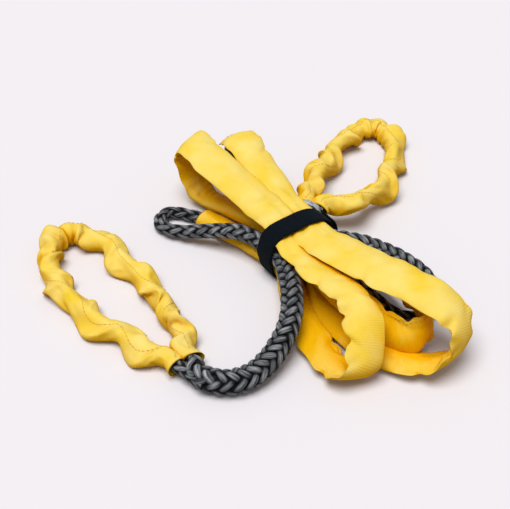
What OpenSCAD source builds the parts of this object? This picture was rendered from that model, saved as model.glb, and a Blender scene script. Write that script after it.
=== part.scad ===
// Soft tow rope with a sleeved eye at each end, folded into a hank and held by a hook-and-loop strap.
// Frame: +X runs along the hank from the back folds to the front loops, +Z is up,
// and the origin is on the floor under the middle of the strap.

/* [Rope] */
// Diameter of the slack twelve-strand hollow braid
rope_d = 11; // [10:0.25:12]
// Diameter of a splice, where the rope's own tail is buried in it
splice_d = 19.5; // [18.5:0.25:20.5]
// Diameter of the buried tail at the throat
tail_d = 9.6; // [8:0.2:10]
// Diameter of the buried tail at its tapered end
tail_end_d = 4; // [3:0.25:6]
// Length of rope tail that is buried in each splice
tail_len = 150; // [110:5:170]
// Room between the buried tail and the braid round it
tail_room = 0.4; // [0.3:0.05:0.6]

/* [Sleeves] */
// Thickness of the sleeve fabric
fabric_t = 0.8; // [0.6:0.1:1]
// Room between the rope and the sleeve round it
rope_room = 0.6; // [0.5:0.05:0.7]
// Width of a sleeved strand where the strap squeezes it
strand_w = 18; // [17:0.25:19]
// Diameter of the eye sleeves where they puff out
eye_sleeve_d = 19.5; // [18:0.5:21]
// How much the eye sleeve swells and draws in along its gathers
gather = 0.9; // [0:0.1:1.5]

/* [Strap] */
// Width of the hook-and-loop strap
strap_w = 18; // [16:0.5:20]
// Thickness of the strap where it is a single layer
strap_t = 2.4; // [1.8:0.2:3]
// Room between strands in the strap
strand_room = 0.7; // [0.5:0.1:0.9]
// Corner radius inside the strap under the strands
strap_low_r = 9; // [6:0.5:10]
// Corner radius inside the strap over its left shoulder
strap_left_r = 17; // [14:0.5:18]
// Corner radius inside the strap over its right shoulder
strap_right_r = 18; // [14:0.5:18.5]
// Thickness of the hook patch inside the strap's tail
hook_t = 0.8; // [0.6:0.1:1.2]
// Thickness of the strap's tail
tail_strap_t = 1.6; // [1.2:0.1:2]
// Height of the tail's root on the strap's right side
tail_root_z = 10; // [8:0.5:12]
// Height of the tail's free end
tail_free_z = 33; // [28:0.5:36]
// Room between the closed tail and the strap inside it
peel_room = 0.3; // [0.2:0.05:0.5]

/* [Eyes] */
// Distance from the throat to where an eye's sleeve starts
eye_hem = 13; // [11:0.5:15]
// Room between the splice's end and the legs of the eye
throat_room = 0.5; // [0.4:0.1:0.8]
// Width of the label band at the throat of the raised eye
label_w = 5; // [4:0.25:5.5]
// Thickness of the label band
label_t = 0.8; // [0.5:0.1:1]

/* [Hidden] */

grey = "#5f6469";
yellow = "#fad448";
black = "#0a1016";
silver = "#9a9ea2";

// Every swept tube has eight sides with a flat below, so it lies this share of its radius from its middle.
sides = 8;
flat = cos(180 / sides);
// How far a sleeve that lies on the floor is pressed flat
floor_cut = 0.5;
// Clearance of bare rope from the floor
rope_lift = 0.5;

// Sleeved strand: thickness, and its height where it lies on the floor
sleeve_t = rope_d + 2 * (rope_room + fabric_t);
lo = sleeve_t / 2 - floor_cut;
// Bare rope and splice: height where they lie on the floor
rl = rope_d / 2 + rope_lift;
sl = splice_d / 2 + rope_lift;

// Three rows of strands in the strap
row_pitch = sleeve_t * flat + strand_room;
low_z = strap_t + strand_room + sleeve_t * flat / 2;
mid_z = low_z + row_pitch;
top_z = mid_z + row_pitch;
seat_pitch = strand_w * flat + strand_room;

// Share of the splice's swelling that is left in the strap
waist_swell_a = 0.4;
waist_swell_b = 0.76;
function swollen(swell) = rope_d + (splice_d - rope_d) * swell;

// The middle row, from left to right: splice A, sleeved strand, bare rope, splice B
row_a = swollen(waist_swell_a) * flat;
row_e = strand_w * flat;
row_r = rope_d * flat;
row_b = swollen(waist_swell_b) * flat;
row_half = (row_a + row_e + row_r + row_b + 3 * strand_room) / 2;
// What lies on the low row beside the middle row's sleeved strand sits at its own height
function on_low_row(height) = low_z + (sleeve_t * flat + height) / 2 + strand_room;
// The top strand over the bare rope sits this much below its neighbour
seat_drop_d = 0.7;

// Seats of the nine strands in the strap, across and up
seat_a = [-seat_pitch, low_z];
seat_c = [0, low_z];
seat_f = [seat_pitch, low_z];
seat_splice_a = [-row_half + row_a / 2, on_low_row(row_a)];
seat_e = [-row_half + row_a + strand_room + row_e / 2, mid_z];
seat_rope = [row_half - row_b - strand_room - row_r / 2, on_low_row(row_r)];
seat_splice_b = [row_half - row_b / 2, on_low_row(row_b)];
seat_b = [-seat_pitch / 2, top_z];
seat_d = [seat_pitch / 2, top_z - seat_drop_d];
// Strands run straight this far to each side of the strap's middle
seat_x = strap_w / 2 + 1.5;
function at(x, seat) = [x, seat[0], seat[1]];

// Throats: where each eye starts and its heading
throat_a = [52, -134, sl];
heading_a = 180;
throat_b = [-25, 32.6, 25];
heading_b = 120;

// Bare rope from throat A to the long sleeve: x, y, z, share of swelling
route_a = [
    [throat_a[0], throat_a[1], sl, 1], [64, -134, sl, 1], [76, -129.5, sl, 1],
    [85, -120, sl, 1], [89, -107, sl, 1], [88, -93, 12, 1], [83, -78, 15.5, 1], [75, -63, 20.5, 0.95],
    [63, -50, 24.5, 0.88], [48, -39.5, 26.5, 0.78], [32, -31, 26, 0.62],
    concat(at(seat_x, seat_splice_a), waist_swell_a), concat(at(-seat_x, seat_splice_a), waist_swell_a),
    [-32, -27.5, 22.5, 0.38], [-48, -36, 18.5, 0.33], [-62, -46.5, 13.5, 0.25], [-76, -57.5, 8.8, 0.15],
    [-88, -65, 7, 0.08], [-98, -66, rl, 0], [-105, -60.5, rl, 0], [-106.5, -51.5, rl, 0],
    [-101.5, -45, rl, 0], [-94, -39.5, rl, 0]
];

// Sleeved stretch: x, y, z, width, bearing of its width, tilt of its width
function squeezed(x, seat, bearing = 90) = concat(at(x, seat), strand_w, bearing, 0);
route_s = [
    [-84, -34, lo, 17, 118, 0], [-68, -28.5, lo, 17, 106, 0], [-48, -23.5, 7, 17, 99, 0],
    [-31, -19.8, 8.2, 18, 94, 0], squeezed(-seat_x, seat_a), squeezed(seat_x, seat_a),
    // left front loop
    [29, -25, 7.4, 19, 68, 0], [45, -32, lo, 22, 66, 0], [61, -38, lo, 24, 68, 0],
    [77, -42.5, lo, 25, 72, 0], [93, -45, lo, 26, 78, 0], [107, -46.3, 6.5, 27, 83, -3],
    [115, -46.4, 7.2, 27, 84, -8], [121.5, -45.4, 8.8, 27, 84, -13], [126.5, -43.6, 11.6, 27, 81, -18],
    [129.2, -41, 15.6, 27, 76, -21], [129.7, -38, 20, 27, 70, -20], [127.3, -34.2, 25.2, 27, 65, -16],
    [122.5, -30, 30.4, 27, 61, -10], [115.5, -25.6, 35.2, 27, 60, -5], [107, -21.5, 39.4, 26, 62, 0],
    [97, -18.5, 42.5, 24, 67, 0], [85, -18, 44, 22, 76, 0], [71, -19.5, 43.5, 20, 84, 0],
    [56, -19.5, 42, 19, 84, 0], [40, -16.5, 40, 18, 80, 0], [25, -12.3, 37.5, 18, 82, 0],
    squeezed(seat_x, seat_b), squeezed(-seat_x, seat_b),
    // left back fold
    [-30, -10, 38, 19, 92, 0], [-48, -12, 42.5, 24, 93, 0], [-70, -14, 47, 28, 95, 0],
    [-92, -15.5, 51, 32, 98, 0], [-110, -16.5, 53, 33, 106, 0], [-124, -17, 51.5, 33, 114, 0],
    [-132, -17, 45.5, 32, 117, 0], [-132.5, -17.5, 37, 30, 116, 0], [-127.5, -18, 28.5, 28, 112, 0],
    [-121.5, -18.5, 20.5, 26, 106, 0], [-115, -18, 13, 24, 101, 0], [-104.5, -16, 8, 21, 98, -4],
    [-90, -13, 8, 19, 97, -10], [-74, -10.8, 11, 17.5, 95, -18], [-58, -9.6, 16, 17.5, 93, -16],
    [-44, -8.8, 20.5, 18, 92, -10], [-30, -7.6, 22.2, 18, 90, -4],
    squeezed(-seat_x, seat_e), squeezed(seat_x, seat_e),
    // inner right front loop
    [28, -7.5, 22.5, 19, 88, 3], [44, -7.5, 23, 21, 88, 12], [60, -7, 23.5, 23, 87, 26],
    [76, -5.5, 24, 25, 86, 42], [91, -3.5, 24.5, 26, 86, 56], [105, -2, 25, 27, 92, 66],
    [116, 0.5, 25, 27, 112, 72], [124, 6, 25, 27, 145, 76], [126.5, 14, 25.5, 27, 180, 78],
    [122, 21.5, 26, 27, 220, 76], [112, 25.5, 26, 27, 252, 70], [99, 27, 25, 26, 266, 60],
    [84, 27.5, 22, 24, 270, 46], [68, 27, 17.5, 22, 270, 30], [50, 24, 12.5, 20, 268, 14],
    [30, 19.5, 8.8, 18, 268, 3], squeezed(seat_x, seat_f, 270), squeezed(-seat_x, seat_f, 270),
    // hidden back fold
    [-32, 20, 8.6, 18, 270, 8], [-48, 24.5, 10.4, 18, 270, 36], [-62, 26.5, 11.5, 18, 272, 66],
    [-72, 23.8, 11.5, 18, 310, 80], [-75.5, 17.6, 11.5, 18, 355, 82], [-71.5, 11.4, 11.5, 18, 400, 80],
    [-61, 8.6, 11.5, 18, 445, 66], [-47, 6, 10.4, 18, 448, 36], [-32, 1.4, 9.2, 18, 450, 8],
    squeezed(-seat_x, seat_c, 450), squeezed(seat_x, seat_c, 450),
    // outer right front loop
    [27, -0.8, 8, 18, 440, 0], [42, -9, 7, 20, 432, 0], [60, -15, lo, 21, 436, 0],
    [78, -18.5, lo, 22, 442, 0],
    [95, -19, lo, 23, 452, 0], [110, -16.5, lo, 25, 464, 0], [124, -10.5, lo, 27, 473, 0],
    [136.5, -3, lo, 29, 478, -3], [146, 4.5, 7.6, 30, 479, -8], [152.5, 11, 11, 30, 479, -13],
    [157, 16.5, 15.8, 30, 478, -18], [159.3, 20.8, 21.4, 30, 474, -21], [159.6, 24, 27.4, 30, 469, -22],
    [157.5, 26.5, 33.6, 31, 466, -19], [153, 28, 39.4, 31, 464, -13], [145.5, 28, 44.6, 32, 463, -6],
    [134, 25, 48.5, 33, 463, 0], [119, 20, 50, 33, 462, 0],
    [102, 15, 49.5, 35, 460, 0], [83, 10.5, 48, 36, 458, 0], [63, 8, 45.5, 35, 456, 0],
    [43, 7.5, 41.5, 29, 454, 0], [26, 8.4, 37.5, 20, 452, 0], squeezed(seat_x, seat_d, 450),
    squeezed(-seat_x, seat_d, 450),
    // right back fold, with the sleeve's open end at its tip
    [-30, 9.2, 37.8, 18, 448, 0], [-48, 11, 43, 21, 446, 0], [-68, 14, 47, 25, 444, 0],
    [-88, 17.5, 49.5, 29, 444, 0], [-104, 20.5, 50, 31, 448, 0], [-115, 22, 47.5, 31, 452, 0],
    [-122, 22.5, 42.5, 30, 455, 0]
];

// Bare rope from the long sleeve to throat B: x, y, z, share of swelling
route_b = [
    [-125.5, 22.5, 35.5, 0], [-125, 22, 28, 0], [-119.5, 21, 22, 0], [-109, 19.5, 20.5, 0],
    [-95, 17, 25, 0], [-80, 14.5, 31, 0], [-62, 12, 31.5, 0], [-44, 10, 28.2, 0], [-29, 8, 24, 0],
    concat(at(-seat_x, seat_rope), 0), concat(at(seat_x, seat_rope), 0),
    [28, 7.6, 20.5, 0], [44, 8.4, 18, 0], [60, 8.5, 13, 0], [75, 9.5, 8, 0], [88, 14, rl, 0],
    [99, 21.5, rl, 0], [105.5, 32.5, rl, 0.05], [106.5, 45, 7.2, 0.15], [100.5, 56, 8.6, 0.3],
    [88, 63, 9.8, 0.5], [72, 65, 10.6, 0.65], [55, 61.5, 12, 0.8], [40, 53.5, 14.8, 0.85],
    [28.5, 41.5, 20, 0.85], [21, 30, 23.4, 0.82], [15.5, 23.2, 24.4, 0.79],
    concat(at(seat_x, seat_splice_b), waist_swell_b), concat(at(-seat_x, seat_splice_b), waist_swell_b),
    [-15.5, 21.8, 24.5, 0.74], [-20.2, 24.3, throat_b[2], 0.72], [throat_b[0], throat_b[1], throat_b[2], 0.7]
];

// An eye's loop from its throat and back: along the heading, to its right
loop_a = [
    [throat_room, -5.8], [8, -6.2], [19, -10.6], [34, -17.4], [54, -24.5], [78, -31], [102, -34.5],
    [126, -35], [148, -31], [165, -23], [175, -12], [176, -0.5], [167, 10.5], [150, 17], [126, 20],
    [102, 20.5], [78, 19.5], [54, 17.8], [34, 14.6], [19, 10], [8, 6.2], [throat_room, 5.8]
];
loop_b = [
    [throat_room, -5.8], [8, -6.2], [19, -10.4], [35, -13.5], [54, -16.5], [75, -19], [97, -21],
    [117, -21.5], [134, -18], [147, -10], [152, 2], [147, 13.5], [134, 22], [117, 28], [98, 32.5],
    [78, 36], [58, 36.5], [40, 32], [27, 23.5], [18, 13.5], [8, 6.2], [throat_room, 5.8]
];
// Height of an eye's rope where its sleeve lies on the floor
eye_lo = eye_sleeve_d * flat / 2 - floor_cut / 2;
// The raised eye leaves its throat level and then falls to the floor along this length
level_b = 8;
slope_b = 142;
function fall(p) = pow(1 - min(1, max(0, p - level_b) / slope_b), 1.4);
function height_a(p) = eye_lo;
function height_b(p) = eye_lo + (throat_b[2] - eye_lo) * fall(p);

// Vectors
function unit(v) = v / norm(v);
function level_left(t) = unit([-t[1], t[0], 0.0001]);
function aim(bearing, tilt) = [cos(bearing) * cos(tilt), sin(bearing) * cos(tilt), sin(tilt)];
function square_to(v, t) = unit(v - (v * t) * t);
function flatten(l) = [for (a = l) for (b = a) b];

// Direction of a route at one of its points, halfway between its two legs
function along(pts, i) =
    let (last = len(pts) - 1)
    i == 0 ? unit(pts[1] - pts[0]) :
    i == last ? unit(pts[last] - pts[last - 1]) :
    unit(unit(pts[i + 1] - pts[i]) + unit(pts[i] - pts[i - 1]));

// One ring of a tube: wide along the first direction, thick along the second
function ring(c, t, side, wide, thick) =
    let (w = square_to(side, t), n = cross(t, w))
    [for (k = [0:sides - 1])
        let (a = 360 * (k + 0.5) / sides, p = c + w * cos(a) * wide / 2 + n * sin(a) * thick / 2)
        [p[0], p[1], max(0, p[2])]];

// Faces between the rings of a tube, its closed ends and the wall at an open end
function flip(f, turned) = turned ? f : [f[0], f[2], f[1]];
function wall(n, base, turned = false) =
    [for (i = [0:n - 2]) for (k = [0:sides - 1])
        let (a = base + i * sides + k, b = base + i * sides + (k + 1) % sides)
        for (f = [[a, b, a + sides], [b, b + sides, a + sides]]) flip(f, turned)];
function cap(base, turned = false) =
    [for (k = [1:sides - 2]) flip([base, base + k + 1, base + k], turned)];
function rim(outer, inner, turned = false) =
    [for (k = [0:sides - 1])
        let (m = (k + 1) % sides)
        for (f = [[outer + k, inner + k, outer + m], [outer + m, inner + k, inner + m]]) flip(f, turned)];

module solid_tube(rings) {
    n = len(rings);
    polyhedron(flatten(rings), concat(wall(n, 0), cap(0), cap((n - 1) * sides, true)));
}

module hollow_tube(outer, inner) {
    n = len(outer);
    base = n * sides;
    polyhedron(
        concat(flatten(outer), flatten(inner)),
        concat(wall(n, 0), wall(n, base, true), rim(0, base), rim(base - sides, 2 * base - sides, true))
    );
}

// Least gap of a tube to itself: from the points of one ring to the flat sides of another one near them
function side_gap(p, c, t, side, wide, thick) =
    let (w = square_to(side, t), q = [(p - c) * w, (p - c) * cross(t, w)])
    max([for (k = [0:sides - 1])
        let (a = 360 * (k + 0.5) / sides, b = 360 * (k + 1.5) / sides,
            from = [cos(a) * wide, sin(a) * thick] / 2, to = [cos(b) * wide, sin(b) * thick] / 2)
        unit([to[1] - from[1], from[0] - to[0]]) * (q - from)]);
// Rings nearer than this along the tube belong to one bend
own_bend = 60;
// Points farther than this from a ring's plane aren't measured against it
plane_reach = 5;
function near_rings(i, j, wide) =
    norm(rope_pts[i] - rope_pts[j]) < (wide[i] + wide[j]) / 2 + plane_reach
    && abs(rope_run[i] - rope_run[j]) > own_bend;
function least_gap(first, last, wide, thick) =
    min([for (i = [first:last]) for (j = [first:last]) if (near_rings(i, j, wide))
        let (c = rope_pts[j], t = along(rope_pts, j))
        for (p = ring(rope_pts[i], along(rope_pts, i), side_at(i), wide[i], thick[i]))
            if (abs((p - c) * t) < plane_reach) side_gap(p, c, t, side_at(j), wide[j], thick[j])]);

// The whole standing rope: place, diameter and side direction at each station
function place(p) = [p[0], p[1], p[2]];
rope_pts = concat([for (p = route_a) place(p)], [for (p = route_s) place(p)], [for (p = route_b) place(p)]);
rope_dia = concat(
    [for (p = route_a) swollen(p[3])], [for (p = route_s) rope_d], [for (p = route_b) swollen(p[3])]
);
first_s = len(route_a);
last_s = first_s + len(route_s) - 1;
// Past the sleeve's end the rope turns down in the fold's own plane before it runs level again
bend_end = last_s + 3;
function side_at(i) =
    i >= first_s && i <= last_s ? aim(route_s[i - first_s][4], route_s[i - first_s][5]) :
    i > last_s && i <= bend_end ? aim(route_s[len(route_s) - 1][4], 0) :
    level_left(along(rope_pts, i));
function rope_ring(i, d) = ring(rope_pts[i], along(rope_pts, i), side_at(i), d, d);
count = len(rope_pts);

// Length along the route from its start to each station
rope_run = [for (i = 0, run = 0; i < count;
    run = run + (i < count - 1 ? norm(rope_pts[i + 1] - rope_pts[i]) : 0), i = i + 1) run];
stations_a = [for (i = [0:first_s - 1]) if (rope_run[i] <= tail_len) i];
stations_b = [for (i = [count - 1:-1:last_s + 1]) if (rope_run[count - 1] - rope_run[i] <= tail_len) i];
function tail_dia(k, n) = tail_d + (tail_end_d - tail_d) * k / (n - 1);
function tail_rings(stations, grow) =
    [for (k = [0:len(stations) - 1]) rope_ring(stations[k], tail_dia(k, len(stations)) + grow)];
// The bore goes on past the tail's end by one ring
function bore_rings(stations, step) =
    concat(
        tail_rings(stations, 2 * tail_room),
        [rope_ring(stations[len(stations) - 1] + step, tail_end_d)]
    );

module standing_rope() {
    outer = [for (i = [0:count - 1]) rope_ring(i, rope_dia[i])];
    bore_a = bore_rings(stations_a, 1);
    bore_b = bore_rings(stations_b, -1);
    n_a = len(bore_a);
    n_b = len(bore_b);
    base_a = count * sides;
    base_b = base_a + n_a * sides;
    echo(least_gap_of_rope_to_itself = least_gap(0, count - 1, rope_dia, rope_dia));
    echo(rope_length = rope_run[count - 1]);
    color(grey)
        polyhedron(
            concat(flatten(outer), flatten(bore_a), flatten(bore_b)),
            concat(
                wall(count, 0), rim(0, base_a), wall(n_a, base_a, true), cap(base_a + (n_a - 1) * sides),
                rim(base_a - sides, base_b, true), wall(n_b, base_b), cap(base_b + (n_b - 1) * sides, true)
            )
        );
}

module buried_tail_a() {
    color(grey) solid_tube(tail_rings(stations_a, 0));
}

module buried_tail_b() {
    rings = tail_rings(stations_b, 0);
    color(grey) solid_tube([for (k = [len(rings) - 1:-1:0]) rings[k]]);
}

// Sleeve rings follow the rope's own stations
function sleeve_ring(j, wide, thick) =
    ring(place(route_s[j]), along(rope_pts, first_s + j), side_at(first_s + j), wide, thick);
sleeve_outer = [for (j = [0:len(route_s) - 1]) sleeve_ring(j, route_s[j][3], sleeve_t)];
sleeve_inner = [for (j = [0:len(route_s) - 1])
    sleeve_ring(j, route_s[j][3] - 2 * fabric_t, sleeve_t - 2 * fabric_t)];

module long_sleeve() {
    wide = [for (i = [0:last_s]) i < first_s ? 0 : route_s[i - first_s][3]];
    thick = [for (i = [0:last_s]) sleeve_t];
    echo(least_gap_of_sleeve_to_itself = least_gap(first_s, last_s, wide, thick));
    color(yellow) hollow_tube(sleeve_outer, sleeve_inner);
}

// Eyes
function eye_pts(loop, throat, heading, up) =
    let (d = [cos(heading), sin(heading)], e = [sin(heading), -cos(heading)])
    [for (p = loop) [throat[0] + p[0] * d[0] + p[1] * e[0], throat[1] + p[0] * d[1] + p[1] * e[1],
        up == "a" ? height_a(p[0]) : height_b(p[0])]];
eye_a_pts = eye_pts(loop_a, throat_a, heading_a, "a");
eye_b_pts = eye_pts(loop_b, throat_b, heading_b, "b");
function eye_rings(pts, dia) =
    [for (i = [0:len(pts) - 1])
        let (t = along(pts, i))
        ring(pts[i], t, level_left(t), dia[i], dia[i])];
// The sleeve is drawn in at its two hems and gathered along the rest
hem_d = sleeve_t;
function sleeve_dia(i, n) = (i == 0 || i == n - 1) ? hem_d :
    (i == 1 || i == n - 2) ? (hem_d + eye_sleeve_d) / 2 :
    eye_sleeve_d + gather * (i % 2 == 0 ? 1 : -1);

// The hem lies between the loop's second and third points, at its own distance from the throat
function hem_point(loop, pts, i, step) =
    pts[i] + (pts[i + step] - pts[i]) * (eye_hem - loop[i][0]) / (loop[i + step][0] - loop[i][0]);
function sleeve_pts(loop, pts) =
    let (n = len(pts))
    concat([hem_point(loop, pts, 1, 1)], [for (i = [2:n - 3]) pts[i]], [hem_point(loop, pts, n - 2, -1)]);

module eye_rope(pts) {
    color(grey) solid_tube(eye_rings(pts, [for (p = pts) rope_d]));
}

module eye_sleeve(loop, pts) {
    route = sleeve_pts(loop, pts);
    n = len(route);
    dia = [for (i = [0:n - 1]) sleeve_dia(i, n)];
    color(yellow) hollow_tube(eye_rings(route, dia), eye_rings(route, [for (d = dia) d - 2 * fabric_t]));
}

module eye_rope_a() {
    eye_rope(eye_a_pts);
}

module eye_rope_b() {
    eye_rope(eye_b_pts);
}

module eye_sleeve_a() {
    eye_sleeve(loop_a, eye_a_pts);
}

module eye_sleeve_b() {
    eye_sleeve(loop_b, eye_b_pts);
}

// Strap: the outline round the strands, grown by a layer
strap_half = row_half + 2 * strand_room;
strap_in_low = strap_t;
strap_in_top = top_z + sleeve_t * flat / 2 + strand_room;

// A quarter of a disc, from its middle to its left or right and up or down
module corner(y, z, r, to_y, to_z) {
    translate([y, z]) intersection() {
        circle(r, $fn = 64);
        translate([min(0, to_y * r), min(0, to_z * r)]) square(r);
    }
}

module strap_outline(grow) {
    half = strap_half + grow;
    low = strap_in_low - grow;
    top = strap_in_top + grow;
    low_r = strap_low_r + grow;
    left_r = strap_left_r + grow;
    right_r = strap_right_r + grow;
    translate([-half + low_r, low]) square([2 * (half - low_r), low_r]);
    translate([-half, low + low_r]) square([half, top - left_r - low - low_r]);
    translate([0, low + low_r]) square([half, top - right_r - low - low_r]);
    translate([-half + left_r, top - left_r]) square([half - left_r, left_r]);
    translate([0, top - right_r]) square([half - right_r, right_r]);
    corner(-half + low_r, low + low_r, low_r, -1, -1);
    corner(half - low_r, low + low_r, low_r, 1, -1);
    corner(-half + left_r, top - left_r, left_r, -1, 1);
    corner(half - right_r, top - right_r, right_r, 1, 1);
}

// A layer of the strap between two growths of its outline
module strap_layer(inside, outside, wide) {
    rotate([90, 0, 90]) linear_extrude(wide, center = true) difference() {
        strap_outline(outside);
        strap_outline(inside);
    }
}

module strap_band() {
    color(black) strap_layer(0, strap_t, strap_w);
}

// The tail lies on the strap's right side, from its root up to its free end
module right_side(from_z) {
    translate([-strap_w, 0, from_z]) cube([2 * strap_w, 2 * strap_half, tail_free_z - from_z]);
}

tail_in = strap_t + peel_room + hook_t;

module strap_tail() {
    color(black) intersection() {
        strap_layer(tail_in, tail_in + tail_strap_t, strap_w);
        right_side(tail_root_z);
    }
}

// The patch is set in from the tail's edges and starts above its root
hook_inset = 1.5;
hook_rise = 3;

module strap_hook_patch() {
    color(black) intersection() {
        strap_layer(strap_t + peel_room, tail_in, strap_w - 2 * hook_inset);
        right_side(tail_root_z + hook_rise);
    }
}

// Two rows of stitches hold the patch, on the flat of the tail's outer face
stitch_l = 2.2;
stitch_d = 0.6;
stitch_pitch = 3.4;
stitch_rows = 2;
stitch_row_pitch = 2.4;

module strap_stitches() {
    per_row = floor((strap_w - 2 * hook_inset) / stitch_pitch);
    face_y = strap_half + tail_in + tail_strap_t;
    first_z = tail_root_z + hook_rise + stitch_d;
    color(silver)
        for (row = [0:stitch_rows - 1]) for (i = [0:per_row - 1])
            translate([(i - (per_row - 1) / 2) * stitch_pitch, face_y, first_z + row * stitch_row_pitch])
                translate([-stitch_l / 2, 0, 0]) cube([stitch_l, stitch_d / 2, stitch_d]);
}

// Label band round the splice, ending just before throat B
label_d = swollen(waist_swell_b) + 2 * peel_room;
label_end = 1.5;
label_on = along(rope_pts, count - 1);
label_pts = [
    rope_pts[count - 1] - (label_w + label_end) * label_on,
    rope_pts[count - 1] - label_end * label_on
];

module label_band() {
    inner = [for (p = label_pts) label_d];
    outer = [for (p = label_pts) label_d + 2 * label_t];
    color(silver) hollow_tube(eye_rings(label_pts, outer), eye_rings(label_pts, inner));
}

standing_rope();
buried_tail_a();
buried_tail_b();
eye_rope_a();
eye_rope_b();
eye_sleeve_a();
eye_sleeve_b();
long_sleeve();
strap_band();
strap_tail();
strap_hook_patch();
strap_stitches();
label_band();
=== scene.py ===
"""Soft tow rope, folded into a hank and strapped: its braid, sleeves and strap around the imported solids."""

import math

import bmesh
import bpy
import numpy as np
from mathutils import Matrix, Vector
from mathutils.bvhtree import BVHTree
from mathutils.geometry import convex_hull_2d


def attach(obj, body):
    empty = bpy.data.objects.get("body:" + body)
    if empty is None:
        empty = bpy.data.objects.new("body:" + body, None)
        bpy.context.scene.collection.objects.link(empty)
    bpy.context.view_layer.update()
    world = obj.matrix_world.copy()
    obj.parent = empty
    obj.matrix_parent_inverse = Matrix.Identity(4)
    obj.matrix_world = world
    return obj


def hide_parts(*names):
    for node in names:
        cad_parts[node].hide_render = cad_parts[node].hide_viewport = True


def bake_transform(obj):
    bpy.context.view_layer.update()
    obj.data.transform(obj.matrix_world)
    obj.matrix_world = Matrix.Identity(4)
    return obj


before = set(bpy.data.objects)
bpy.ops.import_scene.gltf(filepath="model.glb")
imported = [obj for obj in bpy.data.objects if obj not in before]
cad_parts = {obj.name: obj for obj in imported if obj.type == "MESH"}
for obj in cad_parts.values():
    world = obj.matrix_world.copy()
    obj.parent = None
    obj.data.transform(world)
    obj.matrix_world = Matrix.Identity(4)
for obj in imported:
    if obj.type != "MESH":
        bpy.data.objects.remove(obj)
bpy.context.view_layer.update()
MM = 0.001

# Sizes of the solids, in millimetres
ROPE_D = 11.0
SPLICE_D = 19.5
FABRIC_T, SLEEVE_ROOM = 0.8, 0.6
SLEEVE_T = ROPE_D + 2 * (SLEEVE_ROOM + FABRIC_T)
STRAND_W = 18.0
STRAND_ROOM = 0.7
STRAP_W = 18.0
STRAP_T = 2.4
EYE_SLEEVE_D = 19.5
THROAT_ROOM = 0.5
FLAT = math.cos(math.pi / 8)
# Heights on the floor of a sleeved strand, bare rope and a splice
FLOOR_ROOM = 0.5
LO, RL, SL = SLEEVE_T / 2 - FLOOR_ROOM, ROPE_D / 2 + FLOOR_ROOM, SPLICE_D / 2 + FLOOR_ROOM


def swollen(swell):
    """The rope's thickness at a share of swelling."""
    return ROPE_D + (SPLICE_D - ROPE_D) * swell


# Seats of the nine strands in the strap, across and up
SWELL_A, SWELL_B = 0.4, 0.76
ROW_PITCH = SLEEVE_T * FLAT + STRAND_ROOM
LOW_Z = STRAP_T + STRAND_ROOM + SLEEVE_T * FLAT / 2
MID_Z, TOP_Z = LOW_Z + ROW_PITCH, LOW_Z + 2 * ROW_PITCH
SEAT_PITCH = STRAND_W * FLAT + STRAND_ROOM
ROW_A, ROW_E, ROW_R, ROW_B = (d * FLAT for d in (swollen(SWELL_A), STRAND_W, ROPE_D, swollen(SWELL_B)))
ROW_HALF = (ROW_A + ROW_E + ROW_R + ROW_B + 3 * STRAND_ROOM) / 2


def on_low_row(height):
    """The middle of a strand of that height that lies on the low row."""
    return LOW_Z + (SLEEVE_T * FLAT + height) / 2 + STRAND_ROOM


SEAT_A, SEAT_C, SEAT_F = (-SEAT_PITCH, LOW_Z), (0, LOW_Z), (SEAT_PITCH, LOW_Z)
SEAT_SPLICE_A = (-ROW_HALF + ROW_A / 2, on_low_row(ROW_A))
SEAT_E = (-ROW_HALF + ROW_A + STRAND_ROOM + ROW_E / 2, MID_Z)
SEAT_ROPE = (ROW_HALF - ROW_B - STRAND_ROOM - ROW_R / 2, on_low_row(ROW_R))
SEAT_SPLICE_B = (ROW_HALF - ROW_B / 2, on_low_row(ROW_B))
SEAT_D_DOWN, SEAT_BEYOND = 0.7, 1.5
SEAT_B, SEAT_D = (-SEAT_PITCH / 2, TOP_Z), (SEAT_PITCH / 2, TOP_Z - SEAT_D_DOWN)
SEAT_X = STRAP_W / 2 + SEAT_BEYOND
# The two top bands cross under the strap: the right one lies over the other in front, and under it behind.
# Their columns are those of the sleeved stretch
B_FRONT = (SEAT_X, SEAT_B[0], SEAT_B[1] - 1.8, 24, 90, -6, -5.5)
B_BACK = (-SEAT_X, SEAT_B[0], SEAT_B[1] + 1.2, 32, 90, 0, 2)
D_FRONT = (SEAT_X, SEAT_D[0], SEAT_D[1] + 2.2, 34, 450, 0, -4.5)
D_BACK = (-SEAT_X, SEAT_D[0], SEAT_D[1] - 1, 26, 450, 0, 3.8)


def through_strap(seat, *rest, back=False):
    """The two points where a strand enters and leaves the strap's seat."""
    ends = (-SEAT_X, SEAT_X) if back else (SEAT_X, -SEAT_X)
    return [(x, *seat, *rest) for x in ends]


def filled(columns, rows):
    """The rows, with zeros in the columns that they leave out."""
    return [(*row, *[0] * (columns - len(row))) for row in rows]


# Throats of the eyes, and the heading of each eye
THROAT_A, HEADING_A = (52, -134, SL), 180
THROAT_B, HEADING_B = (-25, 32.6, 25), 120

# Bare rope from throat A to the long sleeve: x, y, z, share of swelling
ROUTE_A = [
    (76, -129.5, SL, 1), (85, -120, SL, 1), (89, -107, SL, 1), (88, -93, 12, 1), (83, -78, 15.5, 1),
    (75, -63, 20.5, 0.95), (63, -50, 24.5, 0.88), (48, -39.5, 26.5, 0.84), (32, -31, 26, 0.72),
    *through_strap(SEAT_SPLICE_A, SWELL_A), (-32, -27.5, 22.5, 0.38), (-48, -36, 18.5, 0.33),
    (-62, -46.5, 13.5, 0.25), (-76, -57.5, 8.8, 0.15), (-88, -65, 7, 0.08), (-98, -66, RL), (-105, -60.5, RL),
    (-106.5, -51.5, RL), (-101.5, -45, RL), (-94, -39.5, RL),
]
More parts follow.
